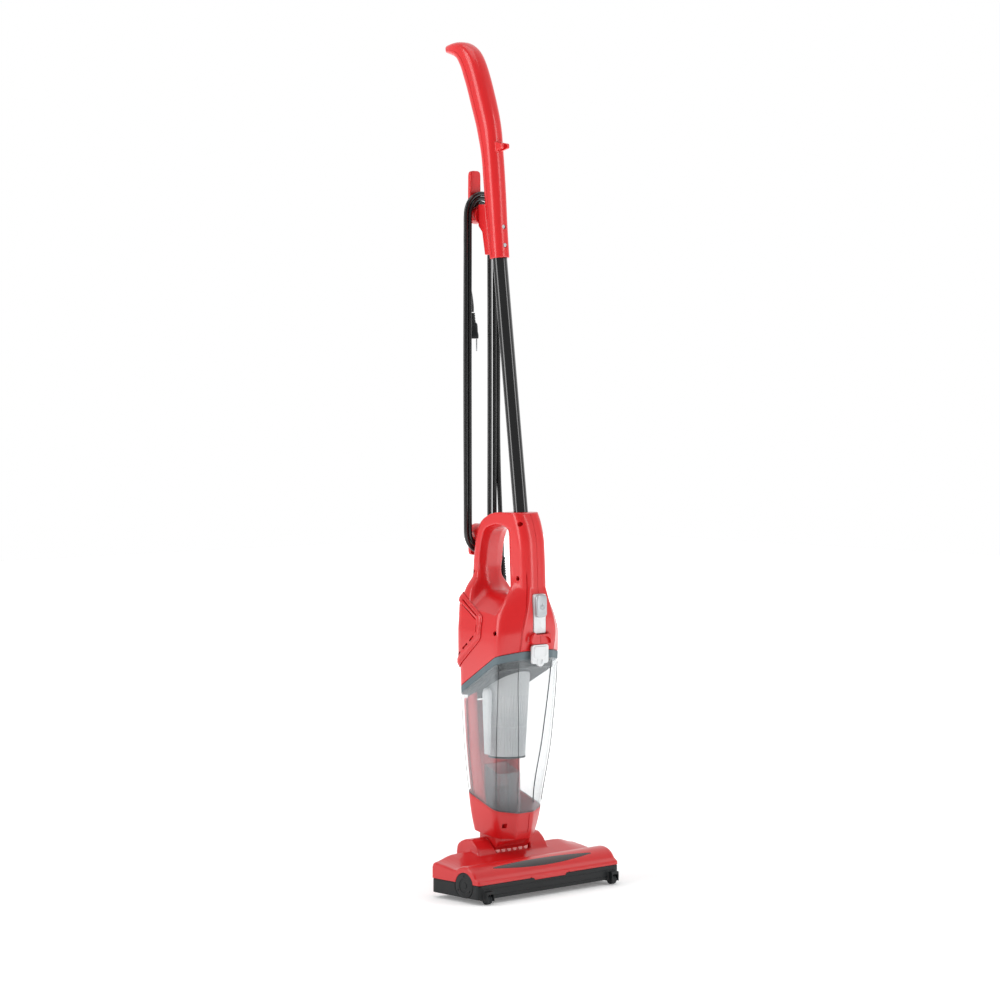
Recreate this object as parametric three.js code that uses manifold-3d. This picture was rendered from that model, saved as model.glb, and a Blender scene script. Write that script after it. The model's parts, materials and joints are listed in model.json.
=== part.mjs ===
// Corded upright stick vacuum: floor head, neck, dust cup, motor unit, wand with hooks and a wound cord.
// Millimetres, +Z up, front of the floor head towards -Y. Every piece is one closed solid in its own mesh.
import * as THREE from 'three';
import { mergeVertices } from 'three/addons/utils/BufferGeometryUtils.js';
import Module from 'manifold-3d';

const wasm = await Module();
wasm.setup();

// ---------------------------------------------------------------- driving dimensions
const GAP = 0.3;                 // clearance between pieces that seat on or pass through each other
const SIDES = 20;                // facets of an ordinary round piece
const FAR = 400;                 // reach of cutting blocks past the object

const HEAD = { width: 250, front: -47, rear: 44, bottom: 6, split: 24.5, endTop: 45, rearTop: 52, wall: 2.4 };
const BARREL = { y: -18, z: 21.5, radius: 24.5 };
const BRUSH = { core: 9, bristle: 15, finWidth: 3, half: 100, axle: 2.5, axleReach: HEAD.width / 2 - 4 };
const END_CAP = { radius: 16.5, depth: 6 };
const WINDOW = { half: 87, depth: 8.5, y: -32, thickness: 1.6 };
const SHOULDER = { inner: 31.5, outer: 61, top: 67, front: 22, rear: 67 };
const PIVOT = { y: 45, z: 45, drum: 18.5, pin: 5, pinFrom: 24, pinTo: 40 };
const ROLLER = { x: HEAD.width / 2 - 13.5, y: HEAD.front, radius: 6, width: 8, axle: 1.5, cheek: 2.5 };
const WHEEL = { x: 48, y: 53, radius: 13, width: 12, axle: 2, cheek: 2.5 };
const DRIVE = {
  x: -96, y: 24, z: 24, motor: 11, motorLength: 48, shaft: 2.2, shaftReach: 16, pulley: 5, brushPulley: 8.7,
  belt: 2, beltWidth: 7,
};

const MOUTH_Z = 64.5;            // height of the mouth's lower edge, at the front plane of the head
const MOUTH_SLOPE = 0.17;
const RIM = { z: 100, slope: 0.38 };          // edge between the cup's base and its clear shell
const SEAL = { frontZ: 320, kinkY: 2, kinkZ: 306, rearZ: 251, frontY: -40, rearY: 95, height: 10 };
const SPIGOT = { half: 20, front: 31, rear: 58, bottom: 41, wall: 2.6 };
const CUP = { wall: 2.2, baseWall: 2.6, floor: 90, rail: 5, railIn: 2.5, railFront: 6 };
const DUCT = { half: 20, front: 30, rear: 59, wall: 1.6, top: 160 };
const FLAP = { thickness: 2, pin: 1.2 };
const FILTER = { y: 36, top: 31.5, bottom: 24, lowZ: 170, wall: 1.5, core: 3, pleats: 18, pleatDepth: 3 };
const COLLAR = { wall: 6.3, depth: 9, bore: 22 };
const MOTOR = { radius: 28, bottom: 325, top: 370, plate: 3, plateZ: 321, shaft: 3 };
const FAN = { radius: 29, bottom: 307.5, height: 9, blades: 7 };
const HOUSING = { wall: 2.6, cavityTop: 377, cavityFront: -19, gripHalf: 21, gripRound: 14 };
const SWITCH = {
  half: 11.6, faceY: -23, low: 335, high: 388, plate: 3.3,
  capHalf: 10, capLow: 357, capHigh: 386, capDepth: 4.2,
};
const LATCH = { half: 14.5, low: 297, high: 321.5, back: -24.5, depth: 4.5 };
const HOOD = { half: 18, low: 322.5, high: 338, front: -31.5 };
const COVER = { lift: 3, gap: GAP, frontY: 30 };
const SCREW = { shank: 1.7, head: 2.6, headLength: 1, bore: 3.1, seat: 1 };
const TUBE = { radius: 9.5, wall: 1, bottom: 432, top: 888, y: 11.5, z: 509, lean: 0.1207 };
const HOOK = { lowZ: 463, lowPost: 11, highZ: 878, highPost: 11, paddle: 9, paddleDepth: 5, ringY: 89.5 };
const CORD = {
  diameter: 6, inner: 11.5, outerRight: 38.5, outerLeft: 29.5, layer: 8, exit: [29, 76.5, 432],
};
const HANG = { y: 119, low: 1050, high: 1130, radius: 4 };
const SLEEVE_SCREWS = [838, 862];    // heights of the screws that hold the handle on the tube
const RAIL_HALF = 8;
const RAIL = [[58, 826], [58, 892], [82, 892], [82, 864], [75, 856], [69.5, 826]];   // hook rail, as y and z
const RELEASE = { z: 447, half: 5, travelDepth: 4 };

// One outline of the hand unit per height: half-width and y of the front, side and rear corners.
const BODY = [
  { z: 58, front: [11, 9], side: [32, 22], rear: [31, 61] },
  { z: 66, front: [12, 6], side: [34.5, 20], rear: [33.5, 64] },
  { z: 80, front: [13, 2.5], side: [38.5, 17], rear: [36, 67] },
  { z: 97, front: [14, 0.5], side: [41.5, 14], rear: [38.5, 69.5] },
  { z: 117, front: [14, 0], side: [43.5, 11], rear: [40.5, 71.5] },
  { z: 200, front: [21.5, -9.5], side: [52, 1], rear: [45.5, 78] },
  { z: 300, front: [29, -18.5], side: [55, -6], rear: [48, 82] },
  { z: 335, front: [29, -25], side: [54, -6.5], rear: [47, 83.5] },
  { z: 352, front: [26, -26], side: [51, -4], rear: [44.5, 84.5] },
  { z: 372, front: [20, -25], side: [43, -2], rear: [42, 85.5] },
  { z: 391, front: [16, -23], side: [30, 2], rear: [35, 84.5] },
  { z: 408, front: [13, -18], side: [19, 6], rear: [20, 83] },
];

// Front and rear of the carrying loop's column and bar, by height.
const GRIP = [
  { z: 370, front: -23, rear: 85 }, { z: 400, front: -22.5, rear: 86 }, { z: 452, front: -20, rear: 81 },
  { z: 476, front: -14.5, rear: 72 }, { z: 493, front: -7, rear: 56 },
];

// ---------------------------------------------------------------- solid helpers
function signedVolume(position, index) {
  let total = 0;
  const a = new THREE.Vector3(), b = new THREE.Vector3(), c = new THREE.Vector3();
  for (let i = 0; i < index.count; i += 3) {
    a.fromBufferAttribute(position, index.getX(i));
    b.fromBufferAttribute(position, index.getX(i + 1));
    c.fromBufferAttribute(position, index.getX(i + 2));
    total += a.dot(b.cross(c));
  }
  return total;
}

function solid(geometry) {
  const bare = geometry.clone();
  for (const name of Object.keys(bare.attributes)) if (name !== 'position') bare.deleteAttribute(name);
  const merged = mergeVertices(bare, 1e-4);
  const triVerts = new Uint32Array(merged.index.array);
  if (signedVolume(merged.attributes.position, merged.index) < 0) {
    for (let i = 0; i < triVerts.length; i += 3) {
      [triVerts[i], triVerts[i + 1]] = [triVerts[i + 1], triVerts[i]];
    }
  }
  const vertProperties = new Float32Array(merged.attributes.position.array);
  return new wasm.Manifold(new wasm.Mesh({ numProp: 3, vertProperties, triVerts }));
}

function toGeometry(body) {
  const data = body.getMesh();
  const geometry = new THREE.BufferGeometry();
  geometry.setAttribute('position', new THREE.BufferAttribute(new Float32Array(data.vertProperties), 3));
  geometry.setIndex(new THREE.BufferAttribute(new Uint32Array(data.triVerts), 1));
  geometry.computeVertexNormals();
  return geometry;
}

const shapeOf = (points) => new THREE.Shape(points.map(([x, y]) => new THREE.Vector2(x, y)));
const matrix = (x, y, z) => new THREE.Matrix4().makeBasis(
  new THREE.Vector3(...x), new THREE.Vector3(...y), new THREE.Vector3(...z));
const FROM_YZ = matrix([0, 1, 0], [0, 0, 1], [1, 0, 0]);
const FROM_XZ = matrix([1, 0, 0], [0, 0, 1], [0, -1, 0]);

function extrudeX(points, x0, x1, bevel = 0) {
  const options = { depth: x1 - x0 - 2 * bevel, bevelEnabled: bevel > 0, bevelThickness: bevel,
    bevelSize: bevel, bevelOffset: -bevel, bevelSegments: 3 };
  const geometry = new THREE.ExtrudeGeometry(shapeOf(points), options);
  return solid(geometry.translate(0, 0, x0 + bevel).applyMatrix4(FROM_YZ));
}

function extrudeY(points, y0, y1) {
  const geometry = new THREE.ExtrudeGeometry(shapeOf(points), { depth: y1 - y0, bevelEnabled: false });
  return solid(geometry.applyMatrix4(FROM_XZ).translate(0, y1, 0));
}

function extrudeZ(points, z0, z1) {
  const geometry = new THREE.ExtrudeGeometry(shapeOf(points), { depth: z1 - z0, bevelEnabled: false });
  return solid(geometry.translate(0, 0, z0));
}

function block(x0, x1, y0, y1, z0, z1) {
  const geometry = new THREE.BoxGeometry(x1 - x0, y1 - y0, z1 - z0);
  return solid(geometry.translate((x0 + x1) / 2, (y0 + y1) / 2, (z0 + z1) / 2));
}

// A round bar between two points.
function bar(from, to, radius, sides = SIDES, radiusEnd = radius) {
  const a = new THREE.Vector3(...from), b = new THREE.Vector3(...to);
  const along = b.clone().sub(a);
  const geometry = new THREE.CylinderGeometry(radiusEnd, radius, along.length(), sides);
  const up = new THREE.Vector3(0, 1, 0);
  const turn = new THREE.Quaternion().setFromUnitVectors(up, along.clone().normalize());
  geometry.applyQuaternion(turn);
  const middle = a.add(b).multiplyScalar(0.5);
  return solid(geometry.translate(middle.x, middle.y, middle.z));
}
const barX = (x0, x1, y, z, radius, sides) => bar([x0, y, z], [x1, y, z], radius, sides);
const barY = (y0, y1, x, z, radius, sides) => bar([x, y0, z], [x, y1, z], radius, sides);
const barZ = (z0, z1, x, y, radius, sides) => bar([x, y, z0], [x, y, z1], radius, sides);

// A turned piece about the vertical through (x, y); the profile is a list of [radius, z].
function turned(profile, x, y, sides = SIDES) {
  const geometry = new THREE.LatheGeometry(profile.map(([r, z]) => new THREE.Vector2(r, z)), sides);
  return solid(geometry.rotateX(Math.PI / 2).translate(x, y, 0));
}

// A skin over closed rings of equal count, flat at both ends; drop is the axis left out when capping.
function loft(rings, drop) {
  const count = rings[0].length;
  const vertices = rings.flat();
  const keep = [0, 1, 2].filter((axis) => axis !== drop);
  const faces = [];
  for (let r = 0; r < rings.length - 1; r += 1) {
    for (let i = 0; i < count; i += 1) {
      const j = (i + 1) % count;
      const a = r * count + i, b = r * count + j, c = a + count, d = b + count;
      faces.push(a, b, d, a, d, c);
    }
  }
  const cap = (ring, start, alongRing) => {
    const flat = ring.map((p) => new THREE.Vector2(p[keep[0]], p[keep[1]]));
    const triangles = THREE.ShapeUtils.triangulateShape(flat, []);
    const area = ([a, b, c]) => THREE.ShapeUtils.area([flat[a], flat[b], flat[c]]);
    const turn = triangles.reduce((sum, triangle) => sum + area(triangle), 0);
    const same = turn > 0 === THREE.ShapeUtils.area(flat) > 0;
    for (const [a, b, c] of triangles) {
      if (same === alongRing) faces.push(start + a, start + b, start + c);
      else faces.push(start + a, start + c, start + b);
    }
  };
  cap(rings[0], 0, false);
  cap(rings[rings.length - 1], (rings.length - 1) * count, true);
  const geometry = new THREE.BufferGeometry();
  geometry.setAttribute('position', new THREE.Float32BufferAttribute(vertices.flat(), 3));
  geometry.setIndex(faces);
  return solid(geometry);
}

// A polygon whose corners are rounded by arcs of the given radius and number of points.
function rounded(corners, radius, steps = 4) {
  const points = [];
  corners.forEach((corner, i) => {
    const at = new THREE.Vector2(...corner);
    const before = new THREE.Vector2(...corners[(i + corners.length - 1) % corners.length]).sub(at);
    const after = new THREE.Vector2(...corners[(i + 1) % corners.length]).sub(at);
    const wanted = Array.isArray(radius) ? radius[i] : radius;
    if (!wanted) { points.push(corner); return; }
    const reach = Math.min(wanted, before.length() / 2.2, after.length() / 2.2);
    const start = at.clone().addScaledVector(before.normalize(), reach);
    const end = at.clone().addScaledVector(after.normalize(), reach);
    const curve = new THREE.QuadraticBezierCurve(start, at, end);
    for (let k = 0; k <= steps; k += 1) {
      const point = curve.getPoint(k / steps);
      points.push([point.x, point.y]);
    }
  });
  return points;
}

function arc(cx, cy, radius, fromDeg, toDeg, steps) {
  const points = [];
  for (let k = 0; k <= steps; k += 1) {
    const angle = THREE.MathUtils.degToRad(fromDeg + (toDeg - fromDeg) * k / steps);
    points.push([cx + radius * Math.cos(angle), cy + radius * Math.sin(angle)]);
  }
  return points;
}

const half = (side) => (side < 0 ? block(-FAR, -GAP / 2, -FAR, FAR, -FAR, 4 * FAR)
  : block(GAP / 2, FAR, -FAR, FAR, -FAR, 4 * FAR));

// ---------------------------------------------------------------- scene graph
const FINISH = {
  red: [0xd8262a, 0.28, 0.0], black: [0x1b1e20, 0.55, 0.0], clear: [0xdfe6e8, 0.08, 0.0],
  smoke: [0x2a2020, 0.12, 0.0], seal: [0x62717a, 0.6, 0.0], grey: [0xc9cbcc, 0.7, 0.0],
  silver: [0xd9dcdd, 0.25, 0.6], steel: [0x9a9da0, 0.35, 0.9], gloss: [0x0c0d0e, 0.15, 0.1],
  rubber: [0x2e3234, 0.8, 0.0], brass: [0xb89a55, 0.35, 0.9],
};
const vacuum = new THREE.Group();

function add(name, body, finish) {
  const [color, roughness, metalness] = FINISH[finish];
  const material = new THREE.MeshStandardMaterial({ color, roughness, metalness });
  const mesh = new THREE.Mesh(toGeometry(body), material);
  mesh.name = name;
  vacuum.add(mesh);
}

// ---------------------------------------------------------------- floor head
const headHalf = HEAD.width / 2;

function headRing(x, inset, rearTop) {
  const r = BARREL.radius - inset;
  const low = inset > 0 ? HEAD.split - 6 : HEAD.split;
  const points = [[HEAD.front + inset, low], [HEAD.front + 1.2 + inset, 29 - inset / 2],
    ...arc(BARREL.y, BARREL.z, r, 152, 50, 8), [4, BARREL.z + r * 0.76],
    [22, (BARREL.z + r * 0.8 + rearTop - inset) / 2], [HEAD.rear - 6 - inset, rearTop - inset],
    [HEAD.rear - inset, rearTop - 5 - inset], [HEAD.rear - inset, low]];
  return points.map(([y, z]) => [x, y, z]);
}

function headSkin(inset) {
  const end = headHalf - inset, step = 4;
  const mid = headHalf - 30;
  const shrink = inset + 1.8;
  return loft([headRing(-end, shrink, HEAD.endTop), headRing(-end + step, inset, HEAD.endTop),
    headRing(-mid, inset, HEAD.rearTop), headRing(mid, inset, HEAD.rearTop),
    headRing(end - step, inset, HEAD.endTop), headRing(end, shrink, HEAD.endTop)], 0)
    .intersect(block(-FAR, FAR, -FAR, FAR, inset > 0 ? HEAD.split - 4 : HEAD.split, FAR));
}

function shoulder(side, inset) {
  const s = SHOULDER;
  const profile = rounded([[s.front + inset, HEAD.split - (inset > 0 ? 4 : 0)],
    [s.rear - inset, HEAD.split - (inset > 0 ? 4 : 0)], [s.rear - inset, s.top - 8 - inset],
    [s.rear - 16, s.top - inset], [s.front + 16, s.top - inset], [s.front + inset, s.top - 16]],
  [0, 0, 8, 8, 8, 8], 3);
  const x0 = s.inner + inset, x1 = s.outer - inset, bevel = inset > 0 ? 0 : 3;
  return side > 0 ? extrudeX(profile, x0, x1, bevel) : extrudeX(profile, -x1, -x0, bevel);
}

function windowOutline(grow) {
  const points = [];
  const steps = 12;
  for (let k = 0; k <= steps; k += 1) {
    const t = k / steps * 2 - 1;
    points.push([t * (WINDOW.half + grow), -(WINDOW.depth / 2 + grow) * (1 - t * t) - 0.6]);
  }
  for (let k = 0; k <= steps; k += 1) {
    const t = 1 - k / steps * 2;
    points.push([t * (WINDOW.half + grow), (WINDOW.depth / 2 + grow) * (1 - t * t) + 0.6]);
  }
  return points.map(([x, y]) => [x, y + WINDOW.y]);
}

function endDisc(side, radius) {
  return side > 0 ? barX(headHalf - END_CAP.depth, headHalf + 1, BARREL.y, BARREL.z, radius)
    : barX(-headHalf - 1, -headHalf + END_CAP.depth, BARREL.y, BARREL.z, radius);
}

function headCover() {
  const wall = HEAD.wall;
  let cover = headSkin(0).add(shoulder(1, 0)).add(shoulder(-1, 0));
  cover = cover.subtract(headSkin(wall)).subtract(shoulder(1, wall)).subtract(shoulder(-1, wall));
  const recess = block(-SHOULDER.inner, SHOULDER.inner, PIVOT.y, SHOULDER.rear + 5, 0, FAR)
    .add(barX(-SHOULDER.inner, SHOULDER.inner, PIVOT.y, PIVOT.z, PIVOT.drum + 1, 32))
    .add(block(-SHOULDER.inner, SHOULDER.inner, PIVOT.y - PIVOT.drum - 1, PIVOT.y, PIVOT.z, FAR));
  cover = cover.subtract(recess);
  cover = cover.subtract(extrudeZ(windowOutline(GAP), 30, FAR));
  for (const side of [-1, 1]) {
    cover = cover.subtract(endDisc(side, END_CAP.radius + GAP));
    cover = cover.subtract(barX(side * PIVOT.pinFrom, side * PIVOT.pinTo, PIVOT.y, PIVOT.z, PIVOT.pin + GAP));
  }
  return cover.subtract(block(-FAR, FAR, -FAR, FAR, -FAR, HEAD.split));
}

function rollerBox(side, grow) {
  const w = ROLLER.width / 2 + ROLLER.cheek + grow;
  return block(side * ROLLER.x - w, side * ROLLER.x + w, ROLLER.y - ROLLER.radius - 1 - grow,
    ROLLER.y + ROLLER.radius + 1 + grow, HEAD.bottom - 2, HEAD.bottom + 11);
}

function wheelEar(side) {
  const s = SHOULDER;
  const x0 = Math.min(side * s.inner, side * s.outer), x1 = Math.max(side * s.inner, side * s.outer);
  return block(x0, x1, HEAD.rear - 2, s.rear - 1, HEAD.bottom + 3, HEAD.split - GAP);
}

function headBase() {
  const top = HEAD.split - GAP, wall = HEAD.wall;
  const outline = rounded([[-headHalf, HEAD.front], [headHalf, HEAD.front], [headHalf, HEAD.rear],
    [-headHalf, HEAD.rear]], 6, 3);
  const inner = rounded([[-headHalf + wall, HEAD.front + wall], [headHalf - wall, HEAD.front + wall],
    [headHalf - wall, HEAD.rear - wall], [-headHalf + wall, HEAD.rear - wall]], 4, 3);
  let base = extrudeZ(outline, HEAD.bottom, top);
  for (const side of [-1, 1]) base = base.add(wheelEar(side)).add(rollerBox(side, 0));
  base = base.subtract(extrudeZ(inner, HEAD.bottom + wall, FAR));
  base = base.subtract(block(-BRUSH.half - 2, BRUSH.half + 2, BARREL.y - BRUSH.bristle - 2,
    BARREL.y + BRUSH.bristle + 2, -FAR, FAR));
  for (const side of [-1, 1]) {
    base = base.subtract(endDisc(side, END_CAP.radius + GAP));
    const r = ROLLER, w = WHEEL;
    const rollerWell = block(side * r.x - r.width / 2 - 0.6, side * r.x + r.width / 2 + 0.6,
      r.y - r.radius - 2, r.y + r.radius + 0.8, -1, r.radius * 2 + 0.8);
    const wheelWell = block(side * w.x - w.width / 2 - 0.8, side * w.x + w.width / 2 + 0.8,
      w.y - w.radius - 1, w.y + w.radius + 1, -1, FAR);
    base = base.subtract(rollerWell).subtract(wheelWell);
    base = base.subtract(axleBar(side, ROLLER, GAP)).subtract(axleBar(side, WHEEL, GAP));
  }
  return base.subtract(block(-FAR, FAR, HEAD.rear - 0.01, SHOULDER.rear + 5, -FAR, HEAD.bottom));
}

function axleBar(side, wheel, grow) {
  const reach = wheel.width / 2 + wheel.cheek - 0.6 + grow;
  return barX(side * wheel.x - reach, side * wheel.x + reach, wheel.y, wheel.radius, wheel.axle + grow, 12);
}

function rollingWheel(side, wheel) {
  const tyre = barX(side * wheel.x - wheel.width / 2, side * wheel.x + wheel.width / 2, wheel.y, wheel.radius,
    wheel.radius, SIDES);
  return tyre.subtract(barX(side * wheel.x - wheel.width, side * wheel.x + wheel.width, wheel.y, wheel.radius,
    wheel.axle + GAP, 12));
}

function brushRoll() {
  let roll = barX(-BRUSH.half, BRUSH.half, BARREL.y, BARREL.z, BRUSH.core);
  const finFrom = DRIVE.x + DRIVE.beltWidth;
  for (let k = 0; k < 4; k += 1) {
    const fin = block(finFrom, BRUSH.half, -BRUSH.finWidth / 2, BRUSH.finWidth / 2, 0, BRUSH.bristle)
      .rotate([k * 90, 0, 0]).translate([0, BARREL.y, BARREL.z]);
    roll = roll.add(fin);
  }
  return roll.add(barX(-BRUSH.axleReach, BRUSH.axleReach, BARREL.y, BARREL.z, BRUSH.axle, 12));
}

function endCap(side) {
  const keepIn = block(-headHalf, headHalf, -FAR, FAR, HEAD.bottom, FAR);
  const bore = barX(side * (headHalf - END_CAP.depth - 1), side * (BRUSH.axleReach + 0.5), BARREL.y, BARREL.z,
    BRUSH.axle + GAP, 12);
  return endDisc(side, END_CAP.radius).intersect(keepIn).subtract(bore);
}

function hull2D(points) {
  const sorted = [...points].sort((a, b) => a[0] - b[0] || a[1] - b[1]);
  const turn = (o, a, b) => (a[0] - o[0]) * (b[1] - o[1]) - (a[1] - o[1]) * (b[0] - o[0]);
  const chain = (list) => {
    const out = [];
    for (const p of list) {
      while (out.length > 1 && turn(out[out.length - 2], out[out.length - 1], p) <= 1e-6) out.pop();
      out.push(p);
    }
    return out.slice(0, -1);
  };
  return [...chain(sorted), ...chain(sorted.reverse())];
}

function driveBelt() {
  const loop = (grow) => hull2D([...arc(BARREL.y, BARREL.z, DRIVE.brushPulley + grow, 0, 345, 23),
    ...arc(DRIVE.y, DRIVE.z, DRIVE.pulley + grow, 0, 345, 23)]);
  const x0 = DRIVE.x, x1 = DRIVE.x + DRIVE.beltWidth - 1;
  return extrudeX(loop(GAP + DRIVE.belt), x0, x1).subtract(extrudeX(loop(GAP), x0 - 1, x1 + 1));
}

function buildFloorHead() {
  add('head_cover', headCover(), 'red');
  add('head_base', headBase(), 'black');
  const skin = headSkin(-0.2).subtract(headSkin(WINDOW.thickness));
  add('brush_window', skin.intersect(extrudeZ(windowOutline(0), 30, FAR)), 'smoke');
  for (const [side, name] of [[-1, 'left'], [1, 'right']]) {
    add(`end_cap_${name}`, endCap(side), 'black');
    add(`front_roller_${name}`, rollingWheel(side, ROLLER), 'rubber');
    add(`roller_axle_${name}`, axleBar(side, ROLLER, 0), 'steel');
    add(`rear_wheel_${name}`, rollingWheel(side, WHEEL), 'rubber');
    add(`wheel_axle_${name}`, axleBar(side, WHEEL, 0), 'steel');
    add(`pivot_pin_${name}`, barX(side * (PIVOT.pinFrom + GAP), side * (PIVOT.pinTo - GAP), PIVOT.y, PIVOT.z,
      PIVOT.pin), 'steel');
  }
  const beltEnd = DRIVE.x + DRIVE.beltWidth;
  const seat = barX(DRIVE.x - 1, beltEnd, BARREL.y, BARREL.z, DRIVE.brushPulley);
  const groove = barX(DRIVE.x - 0.5, beltEnd - 0.5, BARREL.y, BARREL.z, BRUSH.core + 1).subtract(seat);
  add('brush_roll', brushRoll().subtract(groove), 'black');
  const shaftEnd = beltEnd + DRIVE.shaftReach;
  const motor = barX(shaftEnd, shaftEnd + DRIVE.motorLength, DRIVE.y, DRIVE.z, DRIVE.motor);
  const shaftHole = barX(shaftEnd - 1, shaftEnd + 14, DRIVE.y, DRIVE.z, DRIVE.shaft + GAP, 12);
  add('brush_motor', motor.subtract(shaftHole), 'steel');
  const pulley = barX(DRIVE.x - 1, beltEnd, DRIVE.y, DRIVE.z, DRIVE.pulley, 20)
    .add(barX(DRIVE.x, shaftEnd + 12, DRIVE.y, DRIVE.z, DRIVE.shaft, 12));
  add('drive_pulley', pulley, 'brass');
  add('drive_belt', driveBelt(), 'rubber');
}

// ---------------------------------------------------------------- hand unit outline
function bodyRing(level, inset) {
  const [fx, fy] = level.front, [sx, sy] = level.side, [rx, ry] = level.rear;
  const f = fx - 0.5 * inset, s = sx - inset, r = rx - inset;
  const yf = fy + inset, ys = sy + 0.3 * inset, yr = ry - inset;
  const corners = [[-f, yf], [f, yf], [s, ys], [r, yr - 2], [r * 0.45, yr + 0.6], [-r * 0.45, yr + 0.6],
    [-r, yr - 2], [-s, ys]];
  return rounded(corners, [3, 3, 9, 14, 9, 9, 14, 9], 3).map(([x, y]) => [x, y, level.z]);
}
const bodySkin = (inset) => loft(BODY.map((level) => bodyRing(level, inset)), 2);

// Everything above or below a line of [y, z] points.
function cutAbove(line) {
  const start = [-FAR, line[0][1]], end = [FAR, line[line.length - 1][1]];
  return extrudeX([...line, end, [FAR, 4 * FAR], [-FAR, 4 * FAR], start], -FAR, FAR);
}

function cutBelow(line) {
  const start = [-FAR, line[0][1]], end = [FAR, line[line.length - 1][1]];
  return extrudeX([[-FAR, -FAR], [FAR, -FAR], end, ...[...line].reverse(), start], -FAR, FAR);
}

const slopedLine = (z, slope, shift) => [[-60, z - 60 * slope + shift], [120, z + 120 * slope + shift]];
const mouthLine = (shift) => slopedLine(MOUTH_Z, MOUTH_SLOPE, shift);
const rimLine = (shift) => slopedLine(RIM.z, RIM.slope, shift);
const sealLine = (shift) => [[SEAL.frontY, SEAL.frontZ + shift], [SEAL.kinkY, SEAL.kinkZ + shift],
  [SEAL.rearY, SEAL.rearZ + shift]];

// ---------------------------------------------------------------- neck
function neck() {
  const drumHalf = SHOULDER.inner - 1;
  const narrow = BODY[1];
  const collarRing = (z, inset, frontY) => bodyRing({ ...narrow, z }, inset)
    .map(([x, y]) => [x, Math.max(y, frontY + 0.02 * Math.abs(x)), z]);
  const front = PIVOT.y - PIVOT.drum;
  const collar = loft([collarRing(PIVOT.z + 2, 6, front + 3), collarRing(PIVOT.z + 11, 3.2, front - 3),
    collarRing(PIVOT.z + 18, 3, front - 12), collarRing(PIVOT.z + 40, 3, front - 12)], 2)
    .intersect(cutBelow(mouthLine(-GAP)));
  let body = barX(-drumHalf, drumHalf, PIVOT.y, PIVOT.z, PIVOT.drum, 32).add(collar);
  body = body.subtract(block(-SPIGOT.half - GAP, SPIGOT.half + GAP, SPIGOT.front - GAP, SPIGOT.rear + GAP,
    SPIGOT.bottom - GAP, FAR));
  body = body.subtract(block(-SPIGOT.half + SPIGOT.wall, SPIGOT.half - SPIGOT.wall, 0, PIVOT.y + 6,
    SPIGOT.bottom - 9, SPIGOT.bottom + 0.5));
  for (const side of [-1, 1]) {
    const from = side * (PIVOT.pinFrom - 1);
    body = body.subtract(barX(from, side * PIVOT.pinTo, PIVOT.y, PIVOT.z, PIVOT.pin + GAP));
  }
  return body;
}

// ---------------------------------------------------------------- dust cup
function railSpot(side, level) {
  const reach = CUP.rail + CUP.wall;
  return [side * (level.rear[0] - reach - CUP.railIn), level.rear[1] - reach - CUP.railFront];
}

function railSolid(side) {
  const levels = BODY.filter((level) => level.z >= 97 && level.z <= 300);
  const rings = levels.map((level) => arc(...railSpot(side, level), CUP.rail, 0, 330, 11)
    .map(([x, y]) => [x, y, level.z]));
  return loft(rings, 2).intersect(cutBelow(sealLine(-SEAL.height - COLLAR.depth - 2 * GAP)));
}

function cupBase() {
  let body = bodySkin(0).intersect(cutBelow(rimLine(-GAP))).intersect(cutAbove(mouthLine(0)));
  const bowl = bodySkin(CUP.baseWall).intersect(block(-FAR, FAR, -FAR, FAR, CUP.floor, FAR));
  body = body.subtract(bowl);
  body = body.add(block(-SPIGOT.half, SPIGOT.half, SPIGOT.front, SPIGOT.rear, SPIGOT.bottom, MOUTH_Z + 20));
  body = body.subtract(block(-SPIGOT.half + SPIGOT.wall, SPIGOT.half - SPIGOT.wall, SPIGOT.front + SPIGOT.wall,
    SPIGOT.rear - SPIGOT.wall, -FAR, FAR));
  const footLevel = BODY.find((level) => level.z === 97);
  const railFoot = (side) => barZ(CUP.floor - 1, RIM.z + 30, ...railSpot(side, footLevel), CUP.rail, 12);
  return body.add(railSolid(1)).add(railSolid(-1)).add(railFoot(1)).add(railFoot(-1));
}

function cupShell() {
  const slab = cutBelow(sealLine(-SEAL.height - GAP)).intersect(cutAbove(rimLine(0)));
  return bodySkin(0).subtract(bodySkin(CUP.wall)).intersect(slab);
}

function inletDuct() {
  const outer = block(-DUCT.half, DUCT.half, DUCT.front, DUCT.rear, CUP.floor + GAP, DUCT.top);
  const inner = block(-DUCT.half + DUCT.wall, DUCT.half - DUCT.wall, DUCT.front + DUCT.wall,
    DUCT.rear - DUCT.wall, 0, FAR);
  return outer.subtract(inner);
}

function inletFlap() {
  const clear = DUCT.wall + 0.5, low = CUP.floor + GAP + 0.2;
  const plate = block(-DUCT.half + clear, DUCT.half - clear, DUCT.front + clear, DUCT.rear - clear - 2,
    low, low + FLAP.thickness);
  const half = DUCT.half - clear;
  return plate.add(barX(-half, half, DUCT.rear - clear - 2, low + FLAP.pin, FLAP.pin, 10));
}

function buildDustCup() {
  add('cup_base', cupBase(), 'red');
  add('cup_shell', cupShell(), 'clear');
  add('inlet_duct', inletDuct(), 'clear');
  add('inlet_flap', inletFlap(), 'rubber');
  const y0 = LATCH.back - LATCH.depth, y1 = LATCH.back;
  const plate = rounded([[-LATCH.half, LATCH.low], [LATCH.half, LATCH.low], [LATCH.half, LATCH.high],
    [-LATCH.half, LATCH.high]], 4, 3);
  add('cup_latch', extrudeY(plate, y0, y1), 'clear');
}

// ---------------------------------------------------------------- motor unit
const tubeY = (z) => TUBE.y + TUBE.lean * (z - TUBE.z);
const tubePoint = (z) => [0, tubeY(z), z];

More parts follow.
